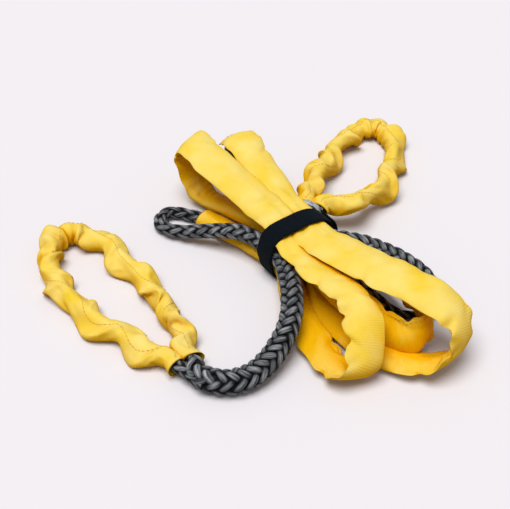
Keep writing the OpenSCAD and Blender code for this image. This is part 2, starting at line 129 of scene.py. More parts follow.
# Sleeved stretch: x, y, z, width, bearing of its width, tilt of its width, shift of the sleeve across the rope
ROUTE_S = filled(7, [
    (-84, -34, LO, 18, 118), (-68, -28.5, LO, 18, 106), (-48, -23.5, 7, 18, 99), (-31, -19.8, 8.2, 18, 94),
    *through_strap(SEAT_A, STRAND_W, 90, back=True),
    # left front loop
    (29, -25, 7.4, 20, 68), (45, -32, LO, 24, 66), (61, -38, LO, 26, 68), (77, -42.5, LO, 27, 72),
    (93, -45, LO, 28, 78), (108.5, -47.4, 6.5, 29, 83, -3), (117.5, -48, 7.2, 29, 84, -8),
    (124.5, -47.2, 8.8, 29, 84, -13), (129.5, -45.2, 11.6, 29, 81, -18), (131.8, -42.4, 15.6, 29, 76, -21),
    (131.4, -39, 20.2, 29, 70, -20), (127.3, -34.2, 25.2, 29, 65, -16), (122.5, -30, 30.4, 29, 61, -10),
    (115.5, -25.6, 35.2, 29, 60, -5, -0.5), (107, -21.5, 39.4, 29, 62, 0, -1), (97, -18.5, 42, 29, 67, -3, -1),
    (85, -18, 42.6, 29, 76, -5, -1), (71, -19.5, 41.6, 29, 84, -7, -0.5), (56, -19.5, 40, 28, 84, -8, -1),
    (40, -17, 37.6, 28, 80, -8, -1.9), (25, -13, 35, 27, 82, -8, -3.6), B_FRONT, B_BACK,
    # left back fold
    (-30, -10, 40, 32, 92, 0, 1.5), (-48, -12, 44, 33, 93, 0, 1), (-70, -14, 47.6, 34, 95),
    (-92, -15.5, 51, 34, 98, 0, -1), (-110, -16.5, 53, 35, 106), (-124, -17, 51.5, 35, 114),
    (-132, -17, 45.5, 34, 117), (-132.5, -17.5, 37, 32, 116), (-127.5, -18, 28.5, 30, 112),
    (-121.5, -18.5, 20.5, 28, 106), (-115, -18, 13, 25, 101), (-104.5, -16, 8, 22, 98, -4),
    (-90, -13, 8, 20, 97, -10), (-74, -10.8, 11, 18, 95, -18), (-58, -9.6, 16, 18, 93, -16),
    (-44, -8.8, 20.5, 18, 92, -10), (-30, -7.6, 22.2, 18, 90, -4), *through_strap(SEAT_E, STRAND_W, 90, back=True),
    # inner right front loop
    (28, -7.5, 22.5, 19, 88, 3), (44, -7.5, 23, 21, 88, 12), (60, -7, 23.5, 23, 87, 26), (76, -6, 21.5, 25, 86, 42),
    (92, -4.8, 19.6, 27, 86, 56), (107, -3.6, 19, 29, 92, 66), (119, -0.5, 19.4, 29, 112, 72),
    (128.5, 5.5, 20.6, 29, 145, 76), (133, 14, 22.6, 29, 180, 78), (129.5, 22.5, 24.4, 29, 220, 76),
    (119, 27, 25, 29, 252, 70), (103, 28.4, 24, 27, 266, 60), (84, 27.5, 22, 25, 270, 46),
    (68, 27, 17.5, 22, 270, 30), (50, 24, 12.5, 20, 268, 14), (30, 19.5, 8.8, 18, 268, 3),
    *through_strap(SEAT_F, STRAND_W, 270),
    # hidden back fold
    (-32, 20, 8.6, 18, 270, 8), (-48, 24.8, 10.4, 18, 270, 36), (-60, 27, 11.5, 18, 272, 66),
    (-70, 25.2, 11.5, 18, 310, 80), (-75, 17.6, 11.5, 18, 355, 82), (-70, 10, 11.5, 18, 400, 80),
    (-60, 8.2, 11.5, 18, 445, 66), (-47, 6, 10.4, 18, 448, 36), (-32, 1.4, 9.2, 18, 450, 8),
    *through_strap(SEAT_C, STRAND_W, 450, back=True),
    # outer right front loop
    (27, -0.8, 8, 18, 440), (42, -9, 7, 20, 432), (60, -15, LO, 22, 436), (78, -18.5, LO, 23, 442),
    (95, -19, LO, 24, 452), (110, -16.5, LO, 26, 464), (124, -10.5, LO, 28, 473), (136.5, -3, LO, 30, 478, -3),
    (146, 4.5, 7.6, 31, 479, -8), (152.5, 11, 11, 31, 479, -13), (157, 16.5, 15.8, 31, 478, -18),
    (159.3, 20.8, 21.4, 31, 474, -21), (159.6, 24, 27.4, 31, 469, -22), (157.5, 26.5, 33.6, 32, 466, -19),
    (153, 28, 39.4, 33, 464, -13), (145.5, 28, 44.6, 34, 463, -6), (134, 25, 48.5, 35, 463),
    (119, 20, 50, 36, 462, 0, 0.5), (102, 15, 49.8, 37, 460, 0, 0.6), (83, 10.5, 48.6, 38, 458),
    (63, 8, 46.5, 38, 456, 0, -1), (43, 7.5, 43.2, 36, 454, 0, -2.5), (26, 8, 40, 35, 452, 0, -4), D_FRONT, D_BACK,
    # right back fold, with the sleeve's open end at its tip
    (-30, 9.2, 36.4, 26, 448, 0, 3.4), (-48, 11, 41, 27, 446, 0, 2), (-68, 14, 45.4, 28, 444, 0, 1),
    (-88, 17.5, 49.5, 30, 444), (-104, 20.5, 50, 31, 448), (-115, 22, 47.5, 31, 452), (-122, 22.5, 42.5, 30, 455),
])
# Bare rope from the long sleeve to throat B: x, y, z, share of swelling
ROUTE_B = [
    (-125.5, 22.5, 35.5), (-125, 22, 28), (-119.5, 21, 22), (-109, 19.5, 20.5), (-95, 17, 25), (-80, 14.5, 31),
    (-62, 12, 31.5), (-44, 10, 28.2), (-29, 8, 24), *through_strap(SEAT_ROPE, back=True), (28, 7.6, 21),
    (44, 8.4, 22), (60, 8.8, 22.6), (74, 10.5, 21), (86, 14.5, 15.4), (97, 21.5, 8.4), (105.5, 32.5, RL, 0.05),
    (106.5, 45, 7.2, 0.15), (100.5, 56, 8.6, 0.3), (88, 63, 9.8, 0.5), (72, 65, 10.6, 0.65), (55, 61.5, 12, 0.8),
    (40, 53.5, 14.8, 0.85), (28.5, 41.5, 20, 0.85), (21, 30, 23.4, 0.82), (15.5, 23.2, 24.4, 0.79),
    *through_strap(SEAT_SPLICE_B, SWELL_B), (-17.2, 24.2, 24.7, 0.72),
]
# An eye's loop from its throat and back: along the heading, to its right
LOOP_A = [
    (THROAT_ROOM, -5.8), (8, -6.2), (19, -10.6), (34, -17.4), (54, -24.5), (78, -31), (102, -34.5),
    (126, -35), (148, -31), (165, -23), (175, -12), (176, -0.5), (167, 10.5), (150, 17), (126, 20),
    (102, 20.5), (78, 19.5), (54, 17.8), (34, 14.6), (19, 10), (8, 6.2), (THROAT_ROOM, 5.8),
]
LOOP_B = [
    (THROAT_ROOM, -5.8), (8, -6.2), (19, -10.4), (35, -13.5), (54, -16.5), (75, -19), (97, -21),
    (117, -21.5), (134, -18), (147, -10), (152, 2), (147, 13.5), (134, 22), (117, 28), (98, 32.5),
    (78, 36), (58, 36.5), (40, 32), (27, 23.5), (18, 13.5), (8, 6.2), (THROAT_ROOM, 5.8),
]
EYE_SINK = 0.25
EYE_LO = EYE_SLEEVE_D * FLAT / 2 - EYE_SINK
# The raised eye is level for a stretch from its throat, and then falls to the floor
LEVEL_B, FALL_B, FALL_EASE = 8, 142, 1.4


def height_b(p):
    fallen = min(1, max(0, p - LEVEL_B) / FALL_B)
    return EYE_LO + (THROAT_B[2] - EYE_LO) * (1 - fallen) ** FALL_EASE


EYES = {"a": (THROAT_A, HEADING_A, lambda _: EYE_LO), "b": (THROAT_B, HEADING_B, height_b)}


def facing(heading):
    return math.cos(math.radians(heading)), math.sin(math.radians(heading))


def eye_points(loop, throat, heading, height):
    """The loop's points in the part's frame; a loop point may carry its own height."""
    c, s = facing(heading)
    return [
        (throat[0] + q[0] * c + q[1] * s, throat[1] + q[0] * s - q[1] * c, q[2] if len(q) > 2 else height(q[0]))
        for q in loop
    ]


SPAN_STEPS, FACE_SAMPLE, WELD = 40, 37, 1e-7


def run_of(line):
    """The length along a line at each point."""
    return np.concatenate([[0], np.cumsum(np.linalg.norm(np.diff(line[:, :3], axis=0), axis=1))])


def smooth_line(points, step):
    """A smooth line through points of any number of columns, resampled step apart along its first three."""
    p = np.asarray(points, float)
    p = np.vstack([2 * p[0] - p[1], p, 2 * p[-1] - p[-2]])
    u = np.linspace(0, 1, SPAN_STEPS, endpoint=False)[:, None]
    dense = []
    for a, b, c, d in zip(p, p[1:], p[2:], p[3:]):
        k0, k1, k2 = (max(1e-3, np.linalg.norm((y - x)[:3])) ** 0.5 for x, y in ((a, b), (b, c), (c, d)))
        m1 = (b - a) / k0 - (c - a) / (k0 + k1) + (c - b) / k1
        m2 = (c - b) / k1 - (d - b) / (k1 + k2) + (d - c) / k2
        m1, m2 = m1 * k1, m2 * k1
        from_b, from_m1 = 2 * u**3 - 3 * u**2 + 1, u**3 - 2 * u**2 + u
        dense.append(from_b * b + from_m1 * m1 + (3 * u**2 - 2 * u**3) * c + (u**3 - u**2) * m2)
    dense = np.vstack([*dense, p[-2]])
    run = run_of(dense)
    at = np.linspace(0, run[-1], max(2, round(run[-1] / step) + 1))
    return np.stack([np.interp(at, run, dense[:, k]) for k in range(dense.shape[1])], 1)


def unit(v):
    return v / np.maximum(np.linalg.norm(v, axis=-1, keepdims=True), 1e-12)


def headings(line):
    return unit(np.gradient(line[:, :3], axis=0))


def carried_sides(line):
    """Two directions across the line, carried along it without twist."""
    t = headings(line)
    sides = np.empty_like(t)
    side = np.array([0.0, 0.0, 1.0])
    for i, heading in enumerate(t):
        side = side - (side @ heading) * heading
        side = side / np.linalg.norm(side)
        sides[i] = side
    return sides, np.cross(t, sides)


def turns(count, start=0.0):
    """Angles evenly spaced round a turn."""
    return math.tau * (np.arange(count) + start) / count


def eased(x, power):
    """x to a power, with its sign kept."""
    return np.sign(x) * np.abs(x) ** power


def bell(x, wide):
    return np.exp(-((x / wide) ** 2))


def ridges(x):
    """Rounded folds with sharp valleys, from 0 to 1."""
    return np.abs(np.sin(math.pi * x)) ** 0.8


def smoothing(count):
    """Weights that smooth a row of values over a count of them."""
    return np.hanning(count) / np.hanning(count).sum()


def rise(x, low, span):
    """0 up to a low value, 1 from a span above it, and even between."""
    return np.clip((x - low) / span, 0, 1)


def parts_along(off, *ways):
    """How far offsets go along each of the ways."""
    return [(off * way[:, None]).sum(-1) for way in ways]


def moved(points, a, by_a, b, by_b):
    """The points of each station, moved along its directions a and b."""
    return points + a[:, None] * by_a[..., None] + b[:, None] * by_b[..., None]


def round_rings(line, side, up, radius, count):
    """Rings of a round tube along a line."""
    a, r = turns(count), np.reshape(radius, (-1, 1))
    return moved(line[:, None, :3], side, r * np.cos(a), up, r * np.sin(a))


def vectors_of(data, key):
    """The vectors that mesh data keeps under a key, as rows."""
    values = np.empty(len(data) * 3, np.float32)
    data.foreach_get(key, values)
    return values.reshape(-1, 3)


def placed(name, data):
    """A new object in the scene."""
    made = bpy.data.objects.new(name, data)
    bpy.context.scene.collection.objects.link(made)
    return made


def new_piece(name, mesh, finish):
    for polygon in mesh.polygons:
        polygon.use_smooth = True
    mesh.materials.append(finish)
    return placed(name, mesh)


def grids(name, *sizes):
    """A mesh of flat grids, each with its faces along x and y, and half its width."""
    bm = bmesh.new()
    for x, y, half in sizes:
        bmesh.ops.create_grid(bm, x_segments=x, y_segments=y, size=half)
    mesh = bpy.data.meshes.new(name)
    bm.to_mesh(mesh)
    bm.free()
    return mesh


def turn_outwards(mesh, middles):
    """An open tube's faces point away from its middle line."""
    outward = 0.0
    for polygon in list(mesh.polygons)[::FACE_SAMPLE]:
        nearest = middles[np.linalg.norm(middles - np.array(polygon.center), axis=1).argmin()]
        outward += polygon.normal.dot(polygon.center - Vector(nearest))
    if outward < 0:
        mesh.flip_normals()


def swept(name, tubes, finish, capped=False, ring=False, mark=None):
    """A mesh of tubes. Each is (rings[along, around], across, run): its points in millimetres, and the map's width
    and length in metres. With a mark, each has a fourth item, which the mark keeps for each point. A ring closes
    on its own start."""
    mesh = grids(name, *[(rings.shape[1], rings.shape[0] - (not ring), 1) for rings, *_ in tubes])
    co = (vectors_of(mesh.vertices, "co") + 1) / 2
    place, chart, kept_marks = np.empty_like(co), np.empty_like(co)[:, :2], np.zeros_like(co)
    first = 0
    for rings, across, run, *marks in tubes:
        rows, cols = rings.shape[:2]
        n = (rows + ring) * (cols + 1)
        own = slice(first, first + n)
        i = np.rint(co[own, 0] * cols).astype(int)
        j = np.rint(co[own, 1] * (rows - (not ring))).astype(int)
        place[own] = rings[j % rows, i % cols] * MM
        chart[own] = np.stack([i / cols * across, run[j]], 1)
        if mark:
            kept_marks[own] = marks[0][j % rows, i % cols]
        first += n
    mesh.vertices.foreach_set("co", place.ravel())
    corner = np.empty(len(mesh.loops), np.int32)
    mesh.loops.foreach_get("vertex_index", corner)
    mesh.uv_layers.new(name="UVMap").data.foreach_set("uv", chart[corner].ravel())
    if mark:
        mesh.attributes.new(mark, "FLOAT_VECTOR", "POINT").data.foreach_set("vector", kept_marks.ravel())
    bm = bmesh.new()
    bm.from_mesh(mesh)
    bmesh.ops.remove_doubles(bm, verts=bm.verts, dist=WELD)
    if capped:
        bmesh.ops.holes_fill(bm, edges=[e for e in bm.edges if e.is_boundary])
    bmesh.ops.recalc_face_normals(bm, faces=bm.faces)
    bm.to_mesh(mesh)
    bm.free()
    if not capped and not ring:
        turn_outwards(mesh, tubes[0][0].mean(1) * MM)
    return new_piece(name, mesh, finish)


def stands_for(piece, slot, *nodes):
    """The piece shows in place of any nodes of the solids, which are hidden. The slot is not used."""
    if nodes:
        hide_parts(*nodes)


def rides(piece, body, slot, *nodes):
    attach(piece, body)
    stands_for(piece, slot, *nodes)


def lifts(piece, letter, slot, *nodes):
    """The piece keeps its place, baked into its mesh, and shows in place of any nodes of the solids. The eye's letter
    is not used.
    """
    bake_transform(piece)
    stands_for(piece, slot, *nodes)


# Parts that finishes are made of, with the mix node's sockets for colours
MIX_A, MIX_B, MIX_OUT = 6, 7, 2


def finish_of(name, colour, roughness, **sockets):
    made = bpy.data.materials.new(name)
    made.use_nodes = True
    shader = made.node_tree.nodes["Principled BSDF"]
    shader.inputs["Base Color"].default_value = (*colour, 1)
    shader.inputs["Roughness"].default_value = roughness
    for socket, value in sockets.items():
        shader.inputs[socket.replace("_", " ")].default_value = value
    return made, made.node_tree, shader


def node(tree, kind, links=(), **values):
    """A new node, with sources linked to its sockets or values set on them."""
    made = tree.nodes.new("ShaderNode" + kind)
    for key, value in values.items():
        setattr(made, key, value)
    for socket, source in links:
        if isinstance(source, bpy.types.NodeSocket):
            tree.links.new(source, made.inputs[socket])
        else:
            made.inputs[socket].default_value = source
    return made


def mixed(tree, factor, a, b):
    """A colour between a and b, by a factor."""
    ends = [(MIX_A, a), (MIX_B, b)]
    ends = [(socket, c if isinstance(c, bpy.types.NodeSocket) else (*c, 1)) for socket, c in ends]
    return node(tree, "Mix", [(0, factor), *ends], data_type="RGBA").outputs[MIX_OUT]


def ramp(tree, source, low, high, to_low=0.0, to_high=1.0):
    made = node(tree, "MapRange", [(0, source), (1, low), (2, high), (3, to_low), (4, to_high)])
    return made.outputs[0]


def noise(tree, vector, scale, detail, distortion=0.0):
    links = [("Vector", vector), ("Scale", scale), ("Detail", detail), ("Distortion", distortion)]
    return node(tree, "TexNoise", links).outputs["Fac"]


def waves(tree, vector, scale, direction, distortion=0.0, detail=2.0):
    links = [("Vector", vector), ("Scale", scale), ("Distortion", distortion), ("Detail", detail)]
    return node(tree, "TexWave", links, bands_direction=direction).outputs["Fac"]


def chart_of(tree):
    return node(tree, "UVMap", uv_map="UVMap").outputs[0]


def place_in(tree):
    return node(tree, "TexCoord").outputs["Object"]


def kept_mark(tree, name, output):
    return node(tree, "Attribute", attribute_name=name).outputs[output]


def surface(made, tree, shader, tone, height=None, strength=0.0, distance=0.0):
    """The finish, with a colour linked to its shader, and bumps of a height where it has any."""
    tree.links.new(tone, shader.inputs["Base Color"])
    if height is not None:
        bump = node(tree, "Bump", [("Height", height), ("Strength", strength), ("Distance", distance)])
        tree.links.new(bump.outputs[0], shader.inputs["Normal"])
    return made


def yellow_webbing():
    """Woven yellow sleeve fabric: fine ribs across the tube, a crossing weave and uneven dye, with painted shade: deep
    orange where the cloth is shut in or faces down, paler where it lies open and faces up, and darker orange in the
    weave's gaps.
    """
    made, tree, shader = finish_of("yellow_webbing", (0.96, 0.66, 0.05), 0.6, Specular_IOR_Level=0.05)
    chart = chart_of(tree)
    ribs, warp = waves(tree, chart, 190, "Y", 0.8, 1), waves(tree, chart, 380, "X", 0.5, 1)
    weave = node(tree, "Math", [(0, ribs), (1, warp)], operation="MULTIPLY").outputs[0]
    dye = noise(tree, place_in(tree), 45, 4)
    dyed = mixed(tree, ramp(tree, dye, 0.3, 0.7), (0.97, 0.7, 0.06), (0.985, 0.82, 0.25))
    # Painted shade: by the open mark, the colour turns deep orange in hollows and on undersides, and stays pale on open
    # tops
    deep = mixed(tree, ramp(tree, kept_mark(tree, "open", "Fac"), 0.45, 1.0), (0.95, 0.51, 0.001), dyed)
    # Painted shade in the weave's gaps: darker orange where the ribs and warp dip, besides the weave's bump
    woven = mixed(tree, ramp(tree, weave, 0.0, 0.5, 0.22, 0.0), deep, (0.8, 0.4, 0.006))
    return surface(made, tree, shader, woven, weave, 0.5, 0.0006)


def grey_braid():
    """Slate-grey rope strands: paler fibres along them, a random tone for each strand, and painted shade that turns
    each strand near black where it dips into the valleys between strands.
    """
    made, tree, shader = finish_of(
        "grey_braid", (0.11, 0.12, 0.135), 0.6, Sheen_Weight=0.04, Sheen_Roughness=0.4, Specular_IOR_Level=0.12
    )
    along = node(tree, "Mapping", [("Vector", chart_of(tree)), ("Scale", (9, 110, 1))]).outputs[0]
    fibres = noise(tree, along, 1, 5, 0.4)
    lift = node(tree, "SeparateXYZ", [(0, kept_mark(tree, "lift", "Vector"))])
    # Painted shade: near black where a strand lies low, by the crown share of the lift mark
    crown = ramp(tree, lift.outputs[0], 0.55, 0.97)
    yarn = mixed(tree, ramp(tree, fibres, 0.36, 0.64), (0.055, 0.063, 0.071), (0.47, 0.487, 0.505))
    yarn = mixed(tree, ramp(tree, lift.outputs[1], 0, 1, 0, 0.35), yarn, (0.1, 0.11, 0.125))
    tree.links.new(ramp(tree, fibres, 0.3, 0.7, 0.7, 0.5), shader.inputs["Roughness"])
    return surface(made, tree, shader, mixed(tree, crown, (0.002, 0.003, 0.005), yarn), fibres, 0.7, 0.0006)


def black_pile():
    """Brushed black loop pile of the strap."""
    made, tree, shader = finish_of(
        "black_pile", (0.002, 0.005, 0.008), 0.95, Sheen_Weight=0.015, Sheen_Roughness=0.6, Specular_IOR_Level=0.05
    )
    loops = noise(tree, place_in(tree), 1500, 3)
    tone = mixed(tree, ramp(tree, loops, 0.35, 0.75), (0.0008, 0.003, 0.0055), (0.005, 0.0095, 0.014))
    return surface(made, tree, shader, tone, loops, 0.8, 0.0006)


def silver_tape():
    """Plain coated tape of the label band, a little worn."""
    made, tree, shader = finish_of("silver_tape", (0.42, 0.43, 0.44), 0.38, Metallic=0.25)
    wear = noise(tree, place_in(tree), 380, 5)
    tree.links.new(ramp(tree, wear, 0.3, 0.7, 0.3, 0.55), shader.inputs["Roughness"])
    return surface(made, tree, shader, mixed(tree, ramp(tree, wear, 0.35, 0.7), (0.22, 0.23, 0.24), (0.55, 0.56, 0.57)))


def sewing_thread(name, dark, light):
    """Twisted sewing thread."""
    made, tree, shader = finish_of(name, dark, 0.5)
    ply = waves(tree, chart_of(tree), 500, "DIAGONAL")
    return surface(made, tree, shader, mixed(tree, ply, dark, light), ply, 0.6, 0.0002)


YELLOW, GREY, BLACK, SILVER = yellow_webbing(), grey_braid(), black_pile(), silver_tape()
THREAD = sewing_thread("black_thread", (0.012, 0.015, 0.02), (0.05, 0.055, 0.065))
AMBER = sewing_thread("amber_thread", (0.55, 0.25, 0.006), (0.8, 0.42, 0.02))

# Camera at the photograph's angle
AIM, BACK, DISTANCE = Vector((-0.0278, -0.0199, 0)), Vector((0.631, -0.434, 0.643)).normalized(), 0.9
LENS, SENSOR, CLIP_NEAR, CLIP_FAR = 79.4, 36, 0.02, 50
# Key light, and the studio's and floor's tones where they only light and where they are seen
KEY_LIGHT, KEY_SOFTNESS, KEY_FROM = 2.62, math.radians(40), Vector((0.05, -0.25, 1))
STUDIO_LIGHT, STUDIO_SEEN = (0.31, 0.99 * 0.31, 0.31), (0.897, 0.864, 0.897)
FLOOR_LIGHT, FLOOR_SEEN, FLOOR_HALF = (0.44, 0.42, 0.43), (0.81, 0.782, 0.81), 4


def looking_from(back):
    return (-back).to_track_quat("-Z", "Y").to_euler()


def seen_rays(tree):
    """1 where the camera sees a surface, straight, mirrored or through glass, and 0 where it only lights others."""
    path = node(tree, "LightPath")
    seen = path.outputs["Is Camera Ray"]
    for ray in ("Is Glossy Ray", "Is Transmission Ray"):
        both = [(0, seen), (1, path.outputs[ray])]
        seen = node(tree, "Math", both, operation="ADD", use_clamp=True).outputs[0]
    return seen


scene = bpy.context.scene
scene.view_settings.view_transform = "Standard"
camera = placed("camera", bpy.data.cameras.new("camera"))
camera.data.lens, camera.data.sensor_width = LENS, SENSOR
camera.data.clip_start, camera.data.clip_end = CLIP_NEAR, CLIP_FAR
camera.location = AIM + BACK * DISTANCE
camera.rotation_euler = looking_from(BACK)
scene.camera = camera

world = bpy.data.worlds.new("studio")
scene.world = world
world.use_nodes = True
sky = world.node_tree.nodes["Background"]
sky_tone = mixed(world.node_tree, seen_rays(world.node_tree), STUDIO_LIGHT, STUDIO_SEEN)
world.node_tree.links.new(sky_tone, sky.inputs["Color"])
sky.inputs["Strength"].default_value = 1

key = placed("key", bpy.data.lights.new("key", "SUN"))
key.data.energy, key.data.angle = KEY_LIGHT, KEY_SOFTNESS
key.rotation_euler = looking_from(KEY_FROM)

pale, floor_tree, floor_shader = finish_of("pale_floor", FLOOR_SEEN, 0.95, Specular_IOR_Level=0.0)
surface(pale, floor_tree, floor_shader, mixed(floor_tree, seen_rays(floor_tree), FLOOR_LIGHT, FLOOR_SEEN))
floor = new_piece("floor", grids("floor", (1, 1, FLOOR_HALF)), pale)

# Rope: one line from the tail buried at eye A to the tail buried at eye B
FINE = 0.75
HIDDEN_STEP, SHOWN_STEP = 8, 2
# Rope inside the throats: along the heading, to its right, height. The last tail is in the part's frame
IN_A = [(-26, -0.5, SL), (-14, -3.0, SL), (-6, -4.6, SL - 0.6)]
OUT_A = [(-7, 3.4, SL - 0.4), (-15, 1.0, SL)]
OUT_B = [(-3.5, 3.0, THROAT_B[2])]
IN_B = [(-4, -3.6, THROAT_B[2]), (-9, -1.2, THROAT_B[2])]
TAIL_B = [(-15.5, 21.8, 24.5), (-9, 21.2, 24.6)]
SWELL_OUT_A, SWELL_OUT_B = (0.55, 0.9), (0.4,)
eye_a_route = eye_points(IN_A + LOOP_A, *EYES["a"])
eye_b_route = eye_points(LOOP_B[::-1] + IN_B, *EYES["b"])
mouth_a = [(*p, swell) for p, swell in zip(eye_points(OUT_A, *EYES["a"]), SWELL_OUT_A)]
mouth_b = [(*p, swell) for p, swell in zip(eye_points(OUT_B, *EYES["b"]), SWELL_OUT_B)]
in_hank = [*mouth_a, *ROUTE_A, *[p[:3] for p in ROUTE_S], *ROUTE_B, *mouth_b]
rope_line = smooth_line(filled(4, [*eye_a_route, *in_hank, *eye_b_route, *TAIL_B]), FINE)
rope_run = run_of(rope_line)


def station_of(point):
    """The rope's station nearest to a point."""
    return int(np.linalg.norm(rope_line[:, :3] - np.asarray(point[:3]), axis=1).argmin())


# Where the rope is out of sight it has fewer stations
at_throat_a, at_throat_b = station_of(eye_a_route[-1]), station_of(eye_b_route[0])
hidden = np.zeros(len(rope_line), bool)
for route, first, last in ((ROUTE_S, 2, -3), (eye_a_route, 6, -4), (eye_b_route, 3, -6)):
    hidden[station_of(route[first]):station_of(route[last])] = True
kept = [i for i in range(len(rope_line)) if i % (HIDDEN_STEP if hidden[i] else SHOWN_STEP) == 0]
kept = np.array(sorted({*kept, 0, at_throat_a, at_throat_b, len(rope_line) - 1}))

# Braid: six strands each way, each over two and under two
STRANDS, STRAND_SIDES, CORE_SIDES, STRAND_MAP, CORE_MAP = 6, 10, 10, 1.0, 0.2
SLACK_PITCH, SPLICE_PITCH = 76.0, 47.0
STRAND_T, STRAND_T_SWELL = 2.7, 1.3
WAVE, WAVE_SWELL, WAVE_EASE = 0.95, 0.45, 0.6
SKIN, CORE_DOWN, CORE_LEAST = 0.03, 0.6, 0.5
# How uneven a strand lies: lengths along the rope, depth and sinking, and how far it strays round the rope
UNEVEN_LONG = (61, 37, 23)
UNEVEN_DEEP, UNEVEN_SINK, UNEVEN_STRAY = 0.3, 0.8, 0.06
STRAND_FILL, FILL_UNEVEN = 0.46, 0.025
# The strands lie loosest where the eyes are spliced
LOOSE_LONG, LOOSE_DEEP, LOOSE_STRAY = 20, 0.5, 0.34
LOOSE_AHEAD_A, LOOSE_AHEAD_B = 16, -4
ANY_PHASE = 6.3
swell = np.clip(rope_line[:, 3], 0, 1)
rope_r = swollen(swell) / 2 - SKIN
strand_t, wave = STRAND_T + STRAND_T_SWELL * swell, WAVE + WAVE_SWELL * swell
pitch = SLACK_PITCH + (SPLICE_PITCH - SLACK_PITCH) * swell
turn = np.concatenate([[0], np.cumsum(math.tau * np.diff(rope_run) / ((pitch[1:] + pitch[:-1]) / 2))])
side, up = carried_sides(rope_line)
middle_r = rope_r - wave - strand_t / 2
loose = bell(rope_run - rope_run[at_throat_a] - LOOSE_AHEAD_A, LOOSE_LONG)
loose = loose + bell(rope_run - rope_run[at_throat_b] - LOOSE_AHEAD_B, LOOSE_LONG)
draws = np.random.default_rng(5)

# A sleeve that lies wide is thin: the slack rope in it is pressed flat, by these shares of its width and thickness
PRESS_T, PRESS_RANGE, PRESS_WIDER, PRESS_THINNER = 5.2, 9, 0.3, 0.48
SLEEVE_STEP, SLEEVE_COLS = 1.6, 52
sleeve_line = smooth_line(ROUTE_S, SLEEVE_STEP)
sleeve_run = run_of(sleeve_line)


def band_sides(line):
    """Heading, width direction and face direction along a flat sleeve."""
    t = headings(line)
    bearing, tilt = np.radians(line[:, 4]), np.radians(line[:, 5])
    w = np.stack([np.cos(bearing) * np.cos(tilt), np.sin(bearing) * np.cos(tilt), np.sin(tilt)], 1)
    w = unit(w - (w * t).sum(1)[:, None] * t)
    return t, w, np.cross(t, w)


def pressed(wide):
    return rise(wide, STRAND_W, PRESS_RANGE)


def sleeve_thick(wide):
    return SLEEVE_T - PRESS_T * pressed(wide)


in_sleeve = (rope_run >= rope_run[station_of(ROUTE_S[0])]) & (rope_run <= rope_run[station_of(ROUTE_S[-1])])
share = np.interp(rope_run, rope_run[in_sleeve][[0, -1]], (0, 1))
sleeve_station = np.rint(share * (len(sleeve_line) - 1)).astype(int)
flat_w, flat_n = (v[sleeve_station] for v in band_sides(sleeve_line)[1:])
flat_by = np.where(in_sleeve, pressed(sleeve_line[:, 3])[sleeve_station], 0)[:, None]


def flattened(rings):
    """The rope's rings, pressed flat where their sleeve is."""
    wide, thick = parts_along(rings - rope_line[:, None, :3], flat_w, flat_n)
    return moved(rings, flat_w, PRESS_WIDER * flat_by * wide, flat_n, -PRESS_THINNER * flat_by * thick)


def braid_strand(way, k, stations):
    """Rings of one plump strand at the stations, each a little uneven as in a slack rope."""
    angle = math.tau * k / STRANDS + way * turn
    over = eased(np.cos(STRANDS / 2 * (angle - math.pi / (2 * STRANDS))), WAVE_EASE)
    uneven = sum(np.sin(math.tau * rope_run / length + draws.uniform(0, ANY_PHASE)) for length in UNEVEN_LONG)
    uneven = uneven / len(UNEVEN_LONG)
    r = middle_r + way * wave * over + UNEVEN_DEEP * (uneven - UNEVEN_SINK) + LOOSE_DEEP * loose * uneven
    r = np.minimum(r, rope_r - strand_t / 2)
    angle = angle + (UNEVEN_STRAY + LOOSE_STRAY * loose) * uneven
    out = side * np.cos(angle)[:, None] + up * np.sin(angle)[:, None]
    line = rope_line[:, :3] + out * r[:, None]
    along = headings(line)
    across = unit(np.cross(along, out))
    outward = np.cross(across, along)
    lean = np.arctan2(math.tau * (middle_r + wave), pitch)
    half_w = (STRAND_FILL + FILL_UNEVEN * uneven) * pitch / STRANDS * np.sin(lean)
    a = turns(STRAND_SIDES, 0.5)
    rings = moved(line[:, None], across, half_w[:, None] * np.cos(a), outward, strand_t[:, None] / 2 * np.sin(a))
    # The crown share is the strand's height, which the braid's finish uses to paint shade into the valleys; the second
    # share is a random tone for the strand
    height = np.linalg.norm(rings - rope_line[:, None, :3], axis=-1) - middle_r[:, None]
    crown = np.clip(height / (rope_r - middle_r)[:, None], 0, 1)
    lift = np.stack([crown, 0 * crown + draws.uniform(0, 1), 0 * crown], -1)
    return flattened(rings)[stations], STRAND_MAP, run_of(line[stations]) * MM, lift[stations]


def core_tube(stations):
    """The rope's inside, which shows between strands: its lift mark is zero, so the braid's finish paints it near black
    as painted shade.
    """
    rings = round_rings(rope_line, side, up, np.maximum(middle_r - CORE_DOWN, CORE_LEAST), CORE_SIDES)
    # A zero lift mark all round: painted shade over the whole core
    lift = np.zeros((len(stations), CORE_SIDES, 3))
    return flattened(rings)[stations], CORE_MAP, rope_run[stations] * MM, lift


def braided(name, first, last):
    """The braid from one station to another, and its middle line in metres."""
    stations = kept[(kept >= first) & (kept <= last)]
    strands = [braid_strand(way, k, stations) for way in (1, -1) for k in range(STRANDS)]
    piece = swept(name, [*strands, core_tube(stations)], GREY, capped=True, mark="lift")
    return piece, rope_line[first:last + 1, :3] * MM


standing_rope, standing_path = braided("rope_standing", at_throat_a, at_throat_b)
rope_a, path_a = braided("rope_eye_a", 0, at_throat_a)
rope_b, path_b = braided("rope_eye_b", at_throat_b, len(rope_line) - 1)

rides(standing_rope, "hank", "rope", "standing_rope", "buried_tail_a", "buried_tail_b")
for letter, piece, path in (("a", rope_a, path_a), ("b", rope_b, path_b)):
    lifts(piece, letter, "rope", "eye_rope_" + letter)

